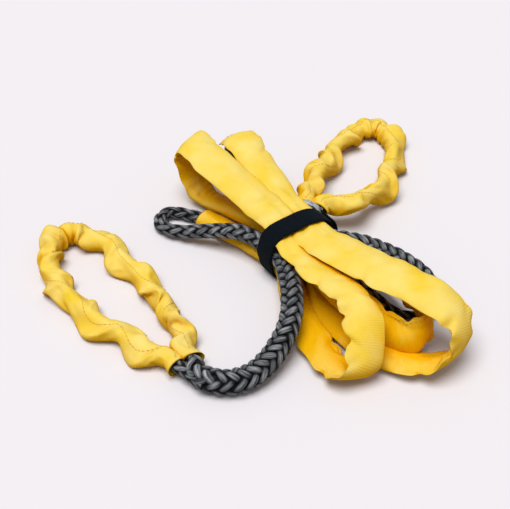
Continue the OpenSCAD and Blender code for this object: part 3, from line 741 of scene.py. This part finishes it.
# Long sleeve: the length and depth of each kind of fold, and how far a bend brings it out
FLAT_TUBE = 37.0
EDGE_FINE, EDGE_RANGE = 0.35, 12
GATHER_LONG, GATHER_DEEP, GATHER_BEND = 10.5, 2.6, 24
DRAG_LONG, DRAG_DEEP = 27, 1.5
SLACK_DEEP, SLACK_FOLDS = 0.8, ((9.5, 1.3, 0.4), (6.1, -2.1, 2.0), (14.3, 0.8, 4.4))
RUFFLE_LONG, RUFFLE_DEEP, RUFFLE_BEND = 3.1, 1.5, 26
FOLD_ROOM, ROPE_PUSH = 0.33, 0.2
PLEAT_DEEP, PLEAT_LONG, PLEATS = 0.7, 30.0, 2.6
CUFF_IN, CUFF_STEPS = 0.9, 3
LEAST_Z = 0.2
# Sharp tucks: a point of the route near it, the edge it starts from, its depth
TUCKS = [
    ((153, 28, 39.4), -1, 5), ((145.5, 28, 44.6), 1, 3), ((159, 21, 21), -1, 4), ((146, 4.5, 7.6), -1, 4),
    ((124, -10.5, 6), 1, 3), ((122.5, -30, 30.4), -1, 4), ((129, -41, 15.6), -1, 3.5), ((115, -46.4, 7.2), -1, 4.5),
    ((97, -18.5, 42), 1, 3), ((77, -42.5, 6), -1, 3), ((-110, -16.5, 53), 1, 3), ((-132, -17, 45), -1, 3.5),
    ((-121, -18.5, 20.5), 1, 3.5), ((128.5, 5.5, 20.6), 1, 3), ((133, 14, 22.6), -1, 3.5), ((119, 27, 25), 1, 3.5),
    ((107, -3.6, 19), 1, 3), ((40, -17, 37.6), -1, 2.5), ((106, -21.3, 39.6), -1, 4.5), ((88, -18, 42.6), -1, 4.5),
    ((67, -19.5, 41.2), -1, 3.5), ((104, -46, 6), 1, 4), ((90, -44.7, 6), 1, 3.5), ((136.5, -3, 6), 1, 4),
    ((83, 10.5, 48.6), -1, 2.5), ((-88, 17.5, 49.5), 1, 2.5),
]
TUCK_WIDE, TUCK_SLANT, TUCK_ACROSS, TUCK_DOWN = 3.6, 8, 0.8, 0.55


def tucks(line, c):
    """How far the tucks draw each point in across the band."""
    run = run_of(line)
    drawn = np.zeros((len(line), len(c)))
    for k, (point, edge, depth) in enumerate(TUCKS):
        at = run[np.linalg.norm(line[:, :3] - point, axis=1).argmin()]
        reach = np.clip(edge * c, 0, 1) ** 1.3
        slant = run[:, None] - at + (TUCK_SLANT if k % 2 else -TUCK_SLANT) * (1 - reach)
        drawn += depth * edge * bell(slant, TUCK_WIDE) * reach
    return drawn


def pleats(line, c, s):
    """Lengthwise folds where the strap gathers the wide bands, dying out away from it."""
    reach = PLEAT_DEEP * np.exp(-np.abs(np.abs(line[:, 0]) - STRAP_W / 2) / PLEAT_LONG)
    reach = reach * rise(line[:, 3], 20, 6)
    ply = np.cos(PLEATS * math.pi * c + line[:, 0:1] / 23 + np.sign(line[:, 6:7]))
    return reach[:, None] * ply * eased(s, 0.5)


def creases(line, c, s):
    """How far folds stand out: gathers inside the bends, slanting drag folds, slack, and ruffled edges. They are
    larger where the sleeve stands upright or a wide leg lies low, and never reach its other face."""
    run, high, wide, tilt = run_of(line)[:, None], line[:, 2:3], line[:, 3:4], line[:, 5:6]
    t, _, n = band_sides(line)
    inwards = np.convolve((np.gradient(t, axis=0) / SLEEVE_STEP * n).sum(1), smoothing(15), "same")
    face = eased(s, 0.5)
    inside = np.clip(inwards[:, None] * face * GATHER_BEND, 0, 1)
    gathers = ridges(run / GATHER_LONG + 0.5 * np.sin(run / 13) + 0.35 * np.sin(2 * c + run / 9))
    slack = sum(np.sin(run / length + across * c + phase) for length, across, phase in SLACK_FOLDS) / len(SLACK_FOLDS)
    patchy = np.clip(np.sin(run / 21.7 + 1.1) + 0.6 * np.sin(run / 8.9), 0, 1)
    drag = ridges(run / DRAG_LONG + 0.55 * c + 0.4 * np.sin(run / 17)) * patchy
    roomy = np.clip((wide - STRAND_W) / 8, 0.35, 1)
    bent = np.convolve(np.abs(inwards), smoothing(25), "same")[:, None]
    ruffle = np.clip(bent * RUFFLE_BEND, 0.25, 1) * roomy * np.abs(c) ** 3
    ruffle = ruffle * np.sin(run / RUFFLE_LONG + 1.4 * np.sin(run / 11) + 2 * (c > 0))
    larger = 1 + rise(np.abs(tilt), 30, 30)
    larger = larger + 0.8 * rise(15 - high, 0, 5) * rise(wide, 20, 5)
    fold = larger * roomy * (SLACK_DEEP * slack + DRAG_DEEP * (drag - 0.5))
    fold = fold - GATHER_DEEP * inside * (1 - gathers) * (1 - c**4)
    room = FOLD_ROOM * sleeve_thick(wide) * np.abs(s)
    return RUFFLE_DEEP * ruffle + face * np.maximum(fold, -room)


def band_rings(line):
    """Rings of the flat sleeve, with edges that are finer the flatter it lies and wander a little in and out."""
    _, w, n = band_sides(line)
    run, wide = run_of(line)[:, None], line[:, 3:4]
    c, s = np.cos(turns(SLEEVE_COLS)), np.sin(turns(SLEEVE_COLS))
    fine = np.abs(s) ** (EDGE_FINE * rise(wide, STRAND_W, EDGE_RANGE))
    frayed = 1 + 0.03 * np.sin(run / 8.1) + 0.025 * np.sin(run / 4.7 + 2)
    drawn = tucks(line, c)
    across = wide / 2 * c * frayed + line[:, 6:7] - TUCK_ACROSS * drawn
    deep = sleeve_thick(wide) / 2 * s * fine + pleats(line, c, s) + creases(line, c, s)
    deep = deep - TUCK_DOWN * np.abs(drawn) * s
    return moved(line[:, None, :3], w, across, n, deep)


def clear_of_rope(rings, line):
    """The rings, with the points that a fold takes into the rope pushed out of it."""
    _, w, n = band_sides(line)
    press = pressed(line[:, 3:4])
    x, y = parts_along(rings - line[:, None, :3], w, n)
    half_w = ROPE_D / 2 * (1 + PRESS_WIDER * press) + SLEEVE_ROOM
    half_t = ROPE_D / 2 * (1 - PRESS_THINNER * press) + SLEEVE_ROOM
    out = np.maximum(1 / np.maximum(np.hypot(x / half_w, y / half_t), ROPE_PUSH), 1) - 1
    return moved(rings, w, x * out, n, y * out)


SEAM_COLUMN, SEAM_RISE = 5, 0.45
STITCH_PITCH, STITCH_LONG, STITCH_R, STITCH_BOW, STITCH_SINK = 3.4, 2.3, 0.23, 0.18, 0.02
STITCH_POINTS, STITCH_SIDES, STITCH_END, THREAD_MAP = 5, 5, 3, 0.002


def sewn_line(name, line, out):
    """A row of stitches along a seam's surface points."""
    run = run_of(line)
    u = np.linspace(-1, 1, STITCH_POINTS)
    threads = []
    for at in np.arange(STITCH_END, run[-1] - STITCH_END, STITCH_PITCH):
        where = at + u * STITCH_LONG / 2
        place, outward = (np.stack([np.interp(where, run, v[:, k]) for k in range(3)], 1) for v in (line, out))
        place = place + outward * (STITCH_BOW * (1 - u**2) - STITCH_SINK)[:, None]
        along = headings(place)
        flank = unit(np.cross(along, outward))
        rings = round_rings(place, flank, np.cross(flank, along), STITCH_R, STITCH_SIDES)
        threads.append((rings, THREAD_MAP, where * MM))
    return swept(name, threads, AMBER, capped=True)


def cuffed(rings, line, steps):
    """The rings, with each end turned in by some steps."""
    cuffs = [line[k, :3] + (rings[k] - line[k, :3]) * CUFF_IN for k in (steps, -steps - 1)]
    return np.concatenate([cuffs[:1], rings, cuffs[1:]])


sleeve_rings = band_rings(sleeve_line)
sleeve_rings[..., 2] = np.maximum(sleeve_rings[..., 2], LEAST_Z)
sleeve_rings = clear_of_rope(sleeve_rings, sleeve_line)
beside_seam = sleeve_rings[:, SEAM_COLUMN + 1] - sleeve_rings[:, SEAM_COLUMN - 1]
seam_out = unit(np.cross(headings(sleeve_line), beside_seam))
seam_out *= np.sign((seam_out * (sleeve_rings[:, SEAM_COLUMN] - sleeve_rings.mean(1))).sum(1))[:, None]
sleeve_rings[:, SEAM_COLUMN] += SEAM_RISE * seam_out
long_seam = sewn_line("seam_long", sleeve_rings[:, SEAM_COLUMN], seam_out)
rides(long_seam, "hank", "thread")
cuff_run = CUFF_STEPS * SLEEVE_STEP
long_run = np.r_[-cuff_run, sleeve_run, sleeve_run[-1] + cuff_run]
long_sleeve = swept(
    "sleeve_long", [(cuffed(sleeve_rings, sleeve_line, CUFF_STEPS), 2 * FLAT_TUBE * MM, long_run * MM)], YELLOW
)
rides(long_sleeve, "hank", "sleeve_fabric", "long_sleeve")

# Eye sleeves
EYE_STEP, EYE_COLS, EYE_CUFF_STEPS = 1.7, 38, 2
EYE_FLAT, EYE_SLACK, EYE_START = 31.0, 1.22, 1.5
EYE_LEAST_Z = 0.3
# Folds along a sleeve: depth and two lengths, for its turning over, its sway, its lift and its puffs
EYE_FOLDS = ((0.9, 83, 57), (2.8, 53, 41), (0.9, 47, 31), (1.0, 45, 31))
EYE_FADE, EYE_OPEN, HEM_POINT = 18, 14, 3.5
GATHERS_LONG, GATHERED_LONG = 12, 26
# Half its width and thickness as laid, and what a puff, a gather and an open end add to them
EYE_HALF_W, EYE_HALF_T = (10.3, 1.6, 3.4, -2.5), (6.2, -0.4, 3.0, 0.1)
SWAY_BEND, SWAY_HEM = 0.7, 1.3
EYE_SEAM_COLUMN = 9
HOLD, HOLD_LONG = 1.3, 7

# Cloth is settled at a larger scale, where the solver is steady
SIM = 20.0
SETTLE_FRAMES = 32
GRAVITY_SHARE, FRICTION = 0.25, 8
TOUCH_OUTER, TOUCH_INNER, TOUCH_CLOTH, TOUCH_QUALITY = 0.3, 4, 0.5, 3
FORMER_D, FORMER_SIDES, FORMER_FLOOR = ROPE_D - 1, 12, 0.5
CLOTH_RULES = {
    "shrink_min": -0.08, "shrink_max": -0.08, "vertex_group_mass": "hold", "quality": 6, "mass": 0.3,
    "tension_stiffness": 40, "compression_stiffness": 40, "shear_stiffness": 12, "bending_stiffness": 1.0,
    "tension_damping": 15, "compression_damping": 15, "shear_damping": 15, "bending_damping": 2, "air_damping": 1,
}


def cut_of(piece):
    """Where each point lies in the sleeve's cut: its length along it, and its turn round it."""
    return vectors_of(piece.data.attributes["cut"].data, "vector")


def collider(name, mesh):
    made = placed(name, mesh)
    made.modifiers.new("touch", "COLLISION")
    made.collision.thickness_outer = TOUCH_OUTER * MM * SIM
    made.collision.thickness_inner = TOUCH_INNER * MM * SIM
    made.collision.cloth_friction = FRICTION
    return made


def rope_collider(line):
    """A plain tube for the sleeve to fold against."""
    rings = round_rings(line, *carried_sides(line), FORMER_D / 2, FORMER_SIDES)
    tube = swept("rope_former", [(rings * SIM, 1, run_of(line))], GREY, capped=True)
    mesh = tube.data
    bpy.data.objects.remove(tube)
    return collider("rope_former", mesh)


def settle(piece, hold, colliders):
    """Lets a sleeve find its folds: it starts as laid, and grows a little."""
    trial = placed("trial", piece.data.copy())
    trial.data.vertices.foreach_set("co", (vectors_of(piece.data.vertices, "co") * SIM).ravel())
    held = trial.vertex_groups.new(name="hold")
    for i, weight in enumerate(hold):
        if weight > 0:
            held.add([i], float(weight), "REPLACE")
    cloth = trial.modifiers.new("settle", "CLOTH")
    cloth.point_cache.frame_start, cloth.point_cache.frame_end = 1, SETTLE_FRAMES
    for rule, value in CLOTH_RULES.items():
        setattr(cloth.settings, rule, value)
    cloth.settings.effector_weights.gravity = GRAVITY_SHARE
    cloth.collision_settings.collision_quality = TOUCH_QUALITY
    cloth.collision_settings.distance_min = TOUCH_CLOTH * MM * SIM
    for f in range(1, SETTLE_FRAMES + 1):
        scene.frame_set(f)
    shown = trial.evaluated_get(bpy.context.evaluated_depsgraph_get())
    found = vectors_of(shown.to_mesh().vertices, "co") / SIM
    shown.to_mesh_clear()
    for o in (trial, *colliders):
        bpy.data.objects.remove(o)
    scene.frame_set(1)
    piece.data.vertices.foreach_set("co", found.ravel())
    piece.data.update()


def eye_sleeve(letter, loop, seed, far_share):
    """A gathered sleeve round an eye, from hem to hem, and the length of its cut."""
    whole = smooth_line(eye_points(loop, *EYES[letter]), EYE_STEP)
    run = run_of(whole)
    inside = (run >= EYE_START) & (run <= run[-1] - EYE_START)
    line, run = whole[inside], run[inside] - run[inside][0]
    from_end = np.minimum(run, run[-1] - run)
    t = headings(line)
    s = unit(np.cross((0, 0, 1), t))
    u = np.cross(t, s)
    a = turns(EYE_COLS)
    own_draws = np.random.default_rng(seed)

    def wander(*lengths):
        """A smooth random run of folds, from -1 to 1, that fades towards the hems."""
        fold = sum(np.sin(math.tau * run / length + own_draws.uniform(0, ANY_PHASE)) for length in lengths)
        return fold / len(lengths) ** 0.5 * rise(from_end, 0, EYE_FADE)

    turn_over, sway, lift, puff = [deep * wander(*lengths) for deep, *lengths in EYE_FOLDS]
    open_end = 1 - rise(from_end, 0, EYE_OPEN)
    far_bend = bell(run - run[-1] * far_share, GATHERED_LONG)
    gather = far_bend * (ridges(run / GATHERS_LONG) - 0.5)
    half_w, half_t = (
        laid + on_puff * puff + on_gather * gather + on_end * open_end
        for laid, on_puff, on_gather, on_end in (EYE_HALF_W, EYE_HALF_T)
    )
    sway = sway * (1 - SWAY_BEND * far_bend) + SWAY_HEM * open_end
    x, y = half_w[:, None] * np.cos(a), half_t[:, None] * np.sin(a)
    c, k = np.cos(turn_over)[:, None], np.sin(turn_over)[:, None]
    rings = moved(line[:, None], s, x * c - y * k + sway[:, None], u, x * k + y * c + lift[:, None])
    point = HEM_POINT * (0.5 + 0.5 * np.cos(a))[None] * (open_end**2 * np.sign(run - run[-1] / 2))[:, None]
    rings = rings + t[:, None] * point[..., None]
    rings[..., 2] = np.maximum(rings[..., 2], EYE_LEAST_Z)
    cuff = EYE_CUFF_STEPS * EYE_STEP
    cut_run = np.r_[-cuff, run, run[-1] + cuff] * EYE_SLACK
    cut = np.stack(np.broadcast_arrays(cut_run[:, None], a, 0.0), -1)
    tube = (cuffed(rings, line, EYE_CUFF_STEPS), 2 * EYE_FLAT * MM, cut_run * MM, cut)
    piece = swept("sleeve_eye_" + letter, [tube], YELLOW, mark="cut")
    at = cut_of(piece)[:, 0]
    hold = np.clip(HOLD - np.minimum(at, cut_run[-2] - at) / HOLD_LONG, 0, 1)
    floor_former = collider("floor_former", grids("floor_former", (1, 1, FORMER_FLOOR * SIM)))
    settle(piece, hold, [rope_collider(whole), floor_former])
    return piece, cut_run[-1] - cut_run[0]


eye_sleeves = []
for letter, loop, seed, far_share in (("a", LOOP_A, 3, 0.51), ("b", LOOP_B, 8, 0.47)):
    piece, cut_length = eye_sleeve(letter, loop, seed, far_share)
    lifts(piece, letter, "sleeve_fabric", "eye_sleeve_" + letter)
    eye_sleeves.append(piece)
    cut = cut_of(piece)
    seam_turn = math.tau * EYE_SEAM_COLUMN / EYE_COLS
    on_seam = np.flatnonzero(np.abs(cut[:, 1] - seam_turn) < 0.01)
    on_seam = on_seam[np.argsort(cut[on_seam, 0])][2:-2]
    seam_out = np.array([piece.data.vertices[int(i)].normal for i in on_seam])
    seam = sewn_line("seam_eye_" + letter, vectors_of(piece.data.vertices, "co")[on_seam] / MM, seam_out)
    lifts(seam, letter, "thread")
    piece.data.attributes.remove(piece.data.attributes["cut"])

# Strap: drawn tight round what it holds, with its end laid back over it
PULL_T, HOOK_T, END_THINNER = 1.8, 0.8, 0.3
STRAP_STEP, STRAP_COLS, HOOK_COLS, OUTLINE_SIDES = 0.8, 44, 40, 48
STRAP_ROOM, END_ROOM, HOOK_ROOM = 0.4, 0.5, 0.1
STRAP_MAP, SOFTEN, SWAY, SWAY_LONG = 0.04, 8, 0.22, 5.1
ROUGH_LOOP, ROUGH_END, ROUGH_HOOKS = 0.07, 0.06, 0.05
PILE_COUNT, PILE_LONG, PILE_R, PILE_ROOT, PILE_TIP, PILE_MAP = 2400, 0.8, 0.06, 0.3, 0.4, 0.001


def seat_outline(seat, wide, thick, shift=0):
    a = turns(OUTLINE_SIDES)
    return np.stack([seat[0] + shift + wide / 2 * np.cos(a), seat[1] + thick / 2 * np.sin(a)], 1)


bundle = [seat_outline(seat, STRAND_W, SLEEVE_T) for seat in (SEAT_A, SEAT_C, SEAT_F, SEAT_E)]
bundle += [seat_outline(p[1:3], p[3], sleeve_thick(p[3]), p[6]) for p in (B_FRONT, B_BACK, D_FRONT, D_BACK)]
bundle += [seat_outline(seat, d, d) for seat, d in (
    (SEAT_SPLICE_A, swollen(SWELL_A)), (SEAT_ROPE, ROPE_D), (SEAT_SPLICE_B, swollen(SWELL_B)))]
bundle = np.vstack(bundle)
tight = bundle[convex_hull_2d([tuple(p) for p in bundle])]
tight = np.roll(tight, -tight[:, 0].argmin(), axis=0)
tight = np.vstack([tight, tight[:1]])
tight_run = run_of(tight)
strap_run = np.linspace(0, tight_run[-1], round(tight_run[-1] / STRAP_STEP), endpoint=False)
tight = [np.interp(strap_run, tight_run, tight[:, k]) for k in (0, 1)]
tight = np.stack([np.convolve(np.r_[v[-SOFTEN:], v, v[:SOFTEN]], smoothing(2 * SOFTEN + 1), "valid") for v in tight], 1)
around = unit(np.roll(tight, -1, axis=0) - np.roll(tight, 1, axis=0))
outwards = np.stack([around[:, 1], -around[:, 0]], 1)


def tape_section(wide, thick, cols):
    """Points round a flat section with rounded edges: across it, and deep."""
    a = turns(cols, 0.5)
    return wide / 2 * eased(np.cos(a), 0.3), thick / 2 * eased(np.sin(a), 0.7)


def strap_rings(picked, off, wide, thick, cols, rough):
    """Sections of webbing along the picked stations of the outline, off from it, a little rough all over."""
    across, deep = tape_section(wide, thick, cols)
    deep = deep[None] + off[:, None] + draws.normal(0, rough, (len(picked), cols))
    sway = SWAY * np.sin(strap_run[picked] / SWAY_LONG)[:, None]
    across = across[None] + sway + draws.normal(0, rough, (len(picked), cols))
    place = tight[picked][:, None] + outwards[picked][:, None] * deep[..., None]
    return np.concatenate([across[..., None], place], -1)


def pile_on(rings):
    """Short fibres that stand out of a strap's sections."""
    rows, cols = rings.shape[:2]
    middles = rings.mean(1)
    fibres = []
    for _ in range(PILE_COUNT):
        j, i = int(draws.integers(1, rows - 1)), int(draws.integers(0, cols))
        root = rings[j, i]
        lean = unit(unit(root - middles[j]) + draws.normal(0, 0.5, 3))
        flank = unit(np.cross(lean, draws.normal(0, 1, 3)))
        other = np.cross(lean, flank)
        length = PILE_LONG * draws.uniform(0.4, 1)
        ring = np.stack([flank, -0.5 * flank + 0.87 * other, -0.5 * flank - 0.87 * other]) * PILE_R
        line = np.stack([root - lean * PILE_ROOT, root + lean * length])
        taper = np.array([1, PILE_TIP])[:, None, None]
        fibres.append((line[:, None] + ring * taper, PILE_MAP, np.array([0, MM])))
    return fibres


every = np.arange(len(tight))
band = strap_rings(every, np.full(len(every), STRAP_ROOM + PULL_T / 2), STRAP_W, PULL_T, STRAP_COLS, ROUGH_LOOP)
strap = swept("strap_loop", [(band, STRAP_MAP, np.r_[strap_run, tight_run[-1]] * MM)], BLACK, ring=True)
pile = swept("strap_pile", pile_on(band), BLACK, capped=True)
rides(strap, "hank", "strap", "strap_band")
rides(pile, "hank", "strap")

# The end runs up the far side, from under the hank to its cut edge
END_LOW, END_HIGH, END_SIDE, HINGE_Z = 2.5, 33.0, 18, 10.0
BEND_BELOW, BEND_ABOVE, HOOK_MARGIN = 4, 3, 1.5
far_side = every[(tight[:, 0] > END_SIDE) & (tight[:, 1] > END_LOW) & (tight[:, 1] < END_HIGH)]
risen = rise(tight[far_side, 1], END_LOW, HINGE_Z - END_LOW)
end_off = END_ROOM + PULL_T / 2 + (PULL_T + HOOK_T) * risen**1.5
end_rings = strap_rings(far_side, end_off, STRAP_W, PULL_T - END_THINNER, STRAP_COLS, ROUGH_END)
end = swept("strap_end", [(end_rings, STRAP_MAP, strap_run[far_side] * MM)], BLACK, capped=True)
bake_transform(end)
stands_for(end, "strap", "strap_tail")
hooked = far_side[(tight[far_side, 1] > HINGE_Z + BEND_ABOVE) & (tight[far_side, 1] < END_HIGH - HOOK_MARGIN)]
hook_off = np.full(len(hooked), STRAP_ROOM + PULL_T + HOOK_T / 2 + HOOK_ROOM)
hook_rings = strap_rings(hooked, hook_off, STRAP_W - 2 * HOOK_MARGIN, HOOK_T - HOOK_ROOM, HOOK_COLS, ROUGH_HOOKS)
patch = swept("strap_hooks", [(hook_rings, STRAP_MAP, strap_run[hooked] * MM)], BLACK, capped=True)
rides(patch, "strap_flap", "hook_patch", "strap_hook_patch")

# Two rows of stitches through the end
ROWS_UP, IN_ROW, ROW_PITCH_X = (3.8, 6.2), 4, 3.4
THREAD_HALF, THREAD_R, THREAD_BOW, THREAD_SINK, THREAD_POINTS, THREAD_SIDES = 1.25, 0.28, 0.35, 0.25, 7, 6
face = END_ROOM + PULL_T / 2 + PULL_T + HOOK_T + (PULL_T - END_THINNER) / 2
u = np.linspace(-1, 1, THREAD_POINTS)
bow = face - THREAD_SINK + THREAD_BOW * (1 - u**2)
threads = []
for z in ROWS_UP:
    at = int(far_side[np.abs(tight[far_side, 1] - HINGE_Z - z).argmin()])
    flank, outward = (np.array([[0, *way[at]]]) for way in (around, outwards))
    for k in range(IN_ROW):
        across = (k - (IN_ROW - 1) / 2) * ROW_PITCH_X + THREAD_HALF * u
        line = np.stack([across, *(tight[at] + outwards[at] * bow[:, None]).T], 1)
        threads.append((round_rings(line, flank, outward, THREAD_R, THREAD_SIDES), THREAD_MAP, run_of(line) * MM))
stitches = swept("strap_stitching", threads, THREAD, capped=True)
rides(stitches, "strap_flap", "thread", "strap_stitches")

# Label band: plain tape round the splice at throat B, creased and a little askew
LABEL_MIDDLE, LABEL_W, LABEL_R, LABEL_T = (-23.0, 29.1, 25.0), 5.0, 9.05, 0.75
LABEL_STEPS, LABEL_COLS, LABEL_MAP, LABEL_ASKEW = 120, 20, 0.012, 0.3
label_turn = turns(LABEL_STEPS)[:, None]
axis = np.array([*facing(HEADING_B), 0])
radial = np.cross((0, 0, 1), axis) * np.cos(label_turn) + np.array([0, 0, 1]) * np.sin(label_turn)
crease = 0.22 * np.sin(5 * label_turn + 1) + 0.16 * np.sin(11 * label_turn)
broad, deep = tape_section(LABEL_W, LABEL_T, LABEL_COLS)
label_off = LABEL_R + LABEL_T / 2 + deep + crease * np.cos(turns(LABEL_COLS, 0.5))
label_across = broad + LABEL_ASKEW * np.sin(3 * label_turn)
label_rings = moved(np.array(LABEL_MIDDLE), radial, label_off, axis[None], label_across)
label_run = np.r_[label_turn[:, 0], math.tau] * LABEL_R * MM
label = swept("label_tape", [(label_rings, LABEL_MAP, label_run)], SILVER, ring=True)
rides(label, "hank", "label", "label_band")

# Painted shade: how openly each point of the cloth lies under the sky, and how far it faces up, which the yellow finish
# paints as deep orange in hollows and undersides and paler yellow on open tops
SKY_RINGS = ((1.0, 0.0, 1), (0.7, 0.71, 5), (0.35, 0.94, 6))
SKY = [Vector((math.cos(a) * r, math.sin(a) * r, z)) for z, r, n in SKY_RINGS for a in turns(n) + z]
SKY_START, SKY_REACH, SIDE_SHARE, UP_SHARE = 0.0006, 0.06, 0.55, 0.45
all_round = bmesh.new()
for piece in (long_sleeve, *eye_sleeves, strap, standing_rope):
    all_round.from_mesh(piece.data)
shades = BVHTree.FromBMesh(all_round)
all_round.free()
for piece in (long_sleeve, *eye_sleeves):
    painted_shade_openness = np.zeros(len(piece.data.vertices), np.float32)
    for i, v in enumerate(piece.data.vertices):
        start = v.co + v.normal * SKY_START
        lit = [max(0.0, v.normal.dot(d)) for d in SKY]
        free = sum(k for k, d in zip(lit, SKY) if k > 0 and shades.ray_cast(start, d, SKY_REACH)[0] is None)
        # Faces that point up count as more open: painted light on the tops
        painted_shade_openness[i] = free / max(sum(lit), 1e-6) * (SIDE_SHARE + UP_SHARE * v.normal.z)
    piece.data.attributes.new("open", "FLOAT", "POINT").data.foreach_set("value", painted_shade_openness)
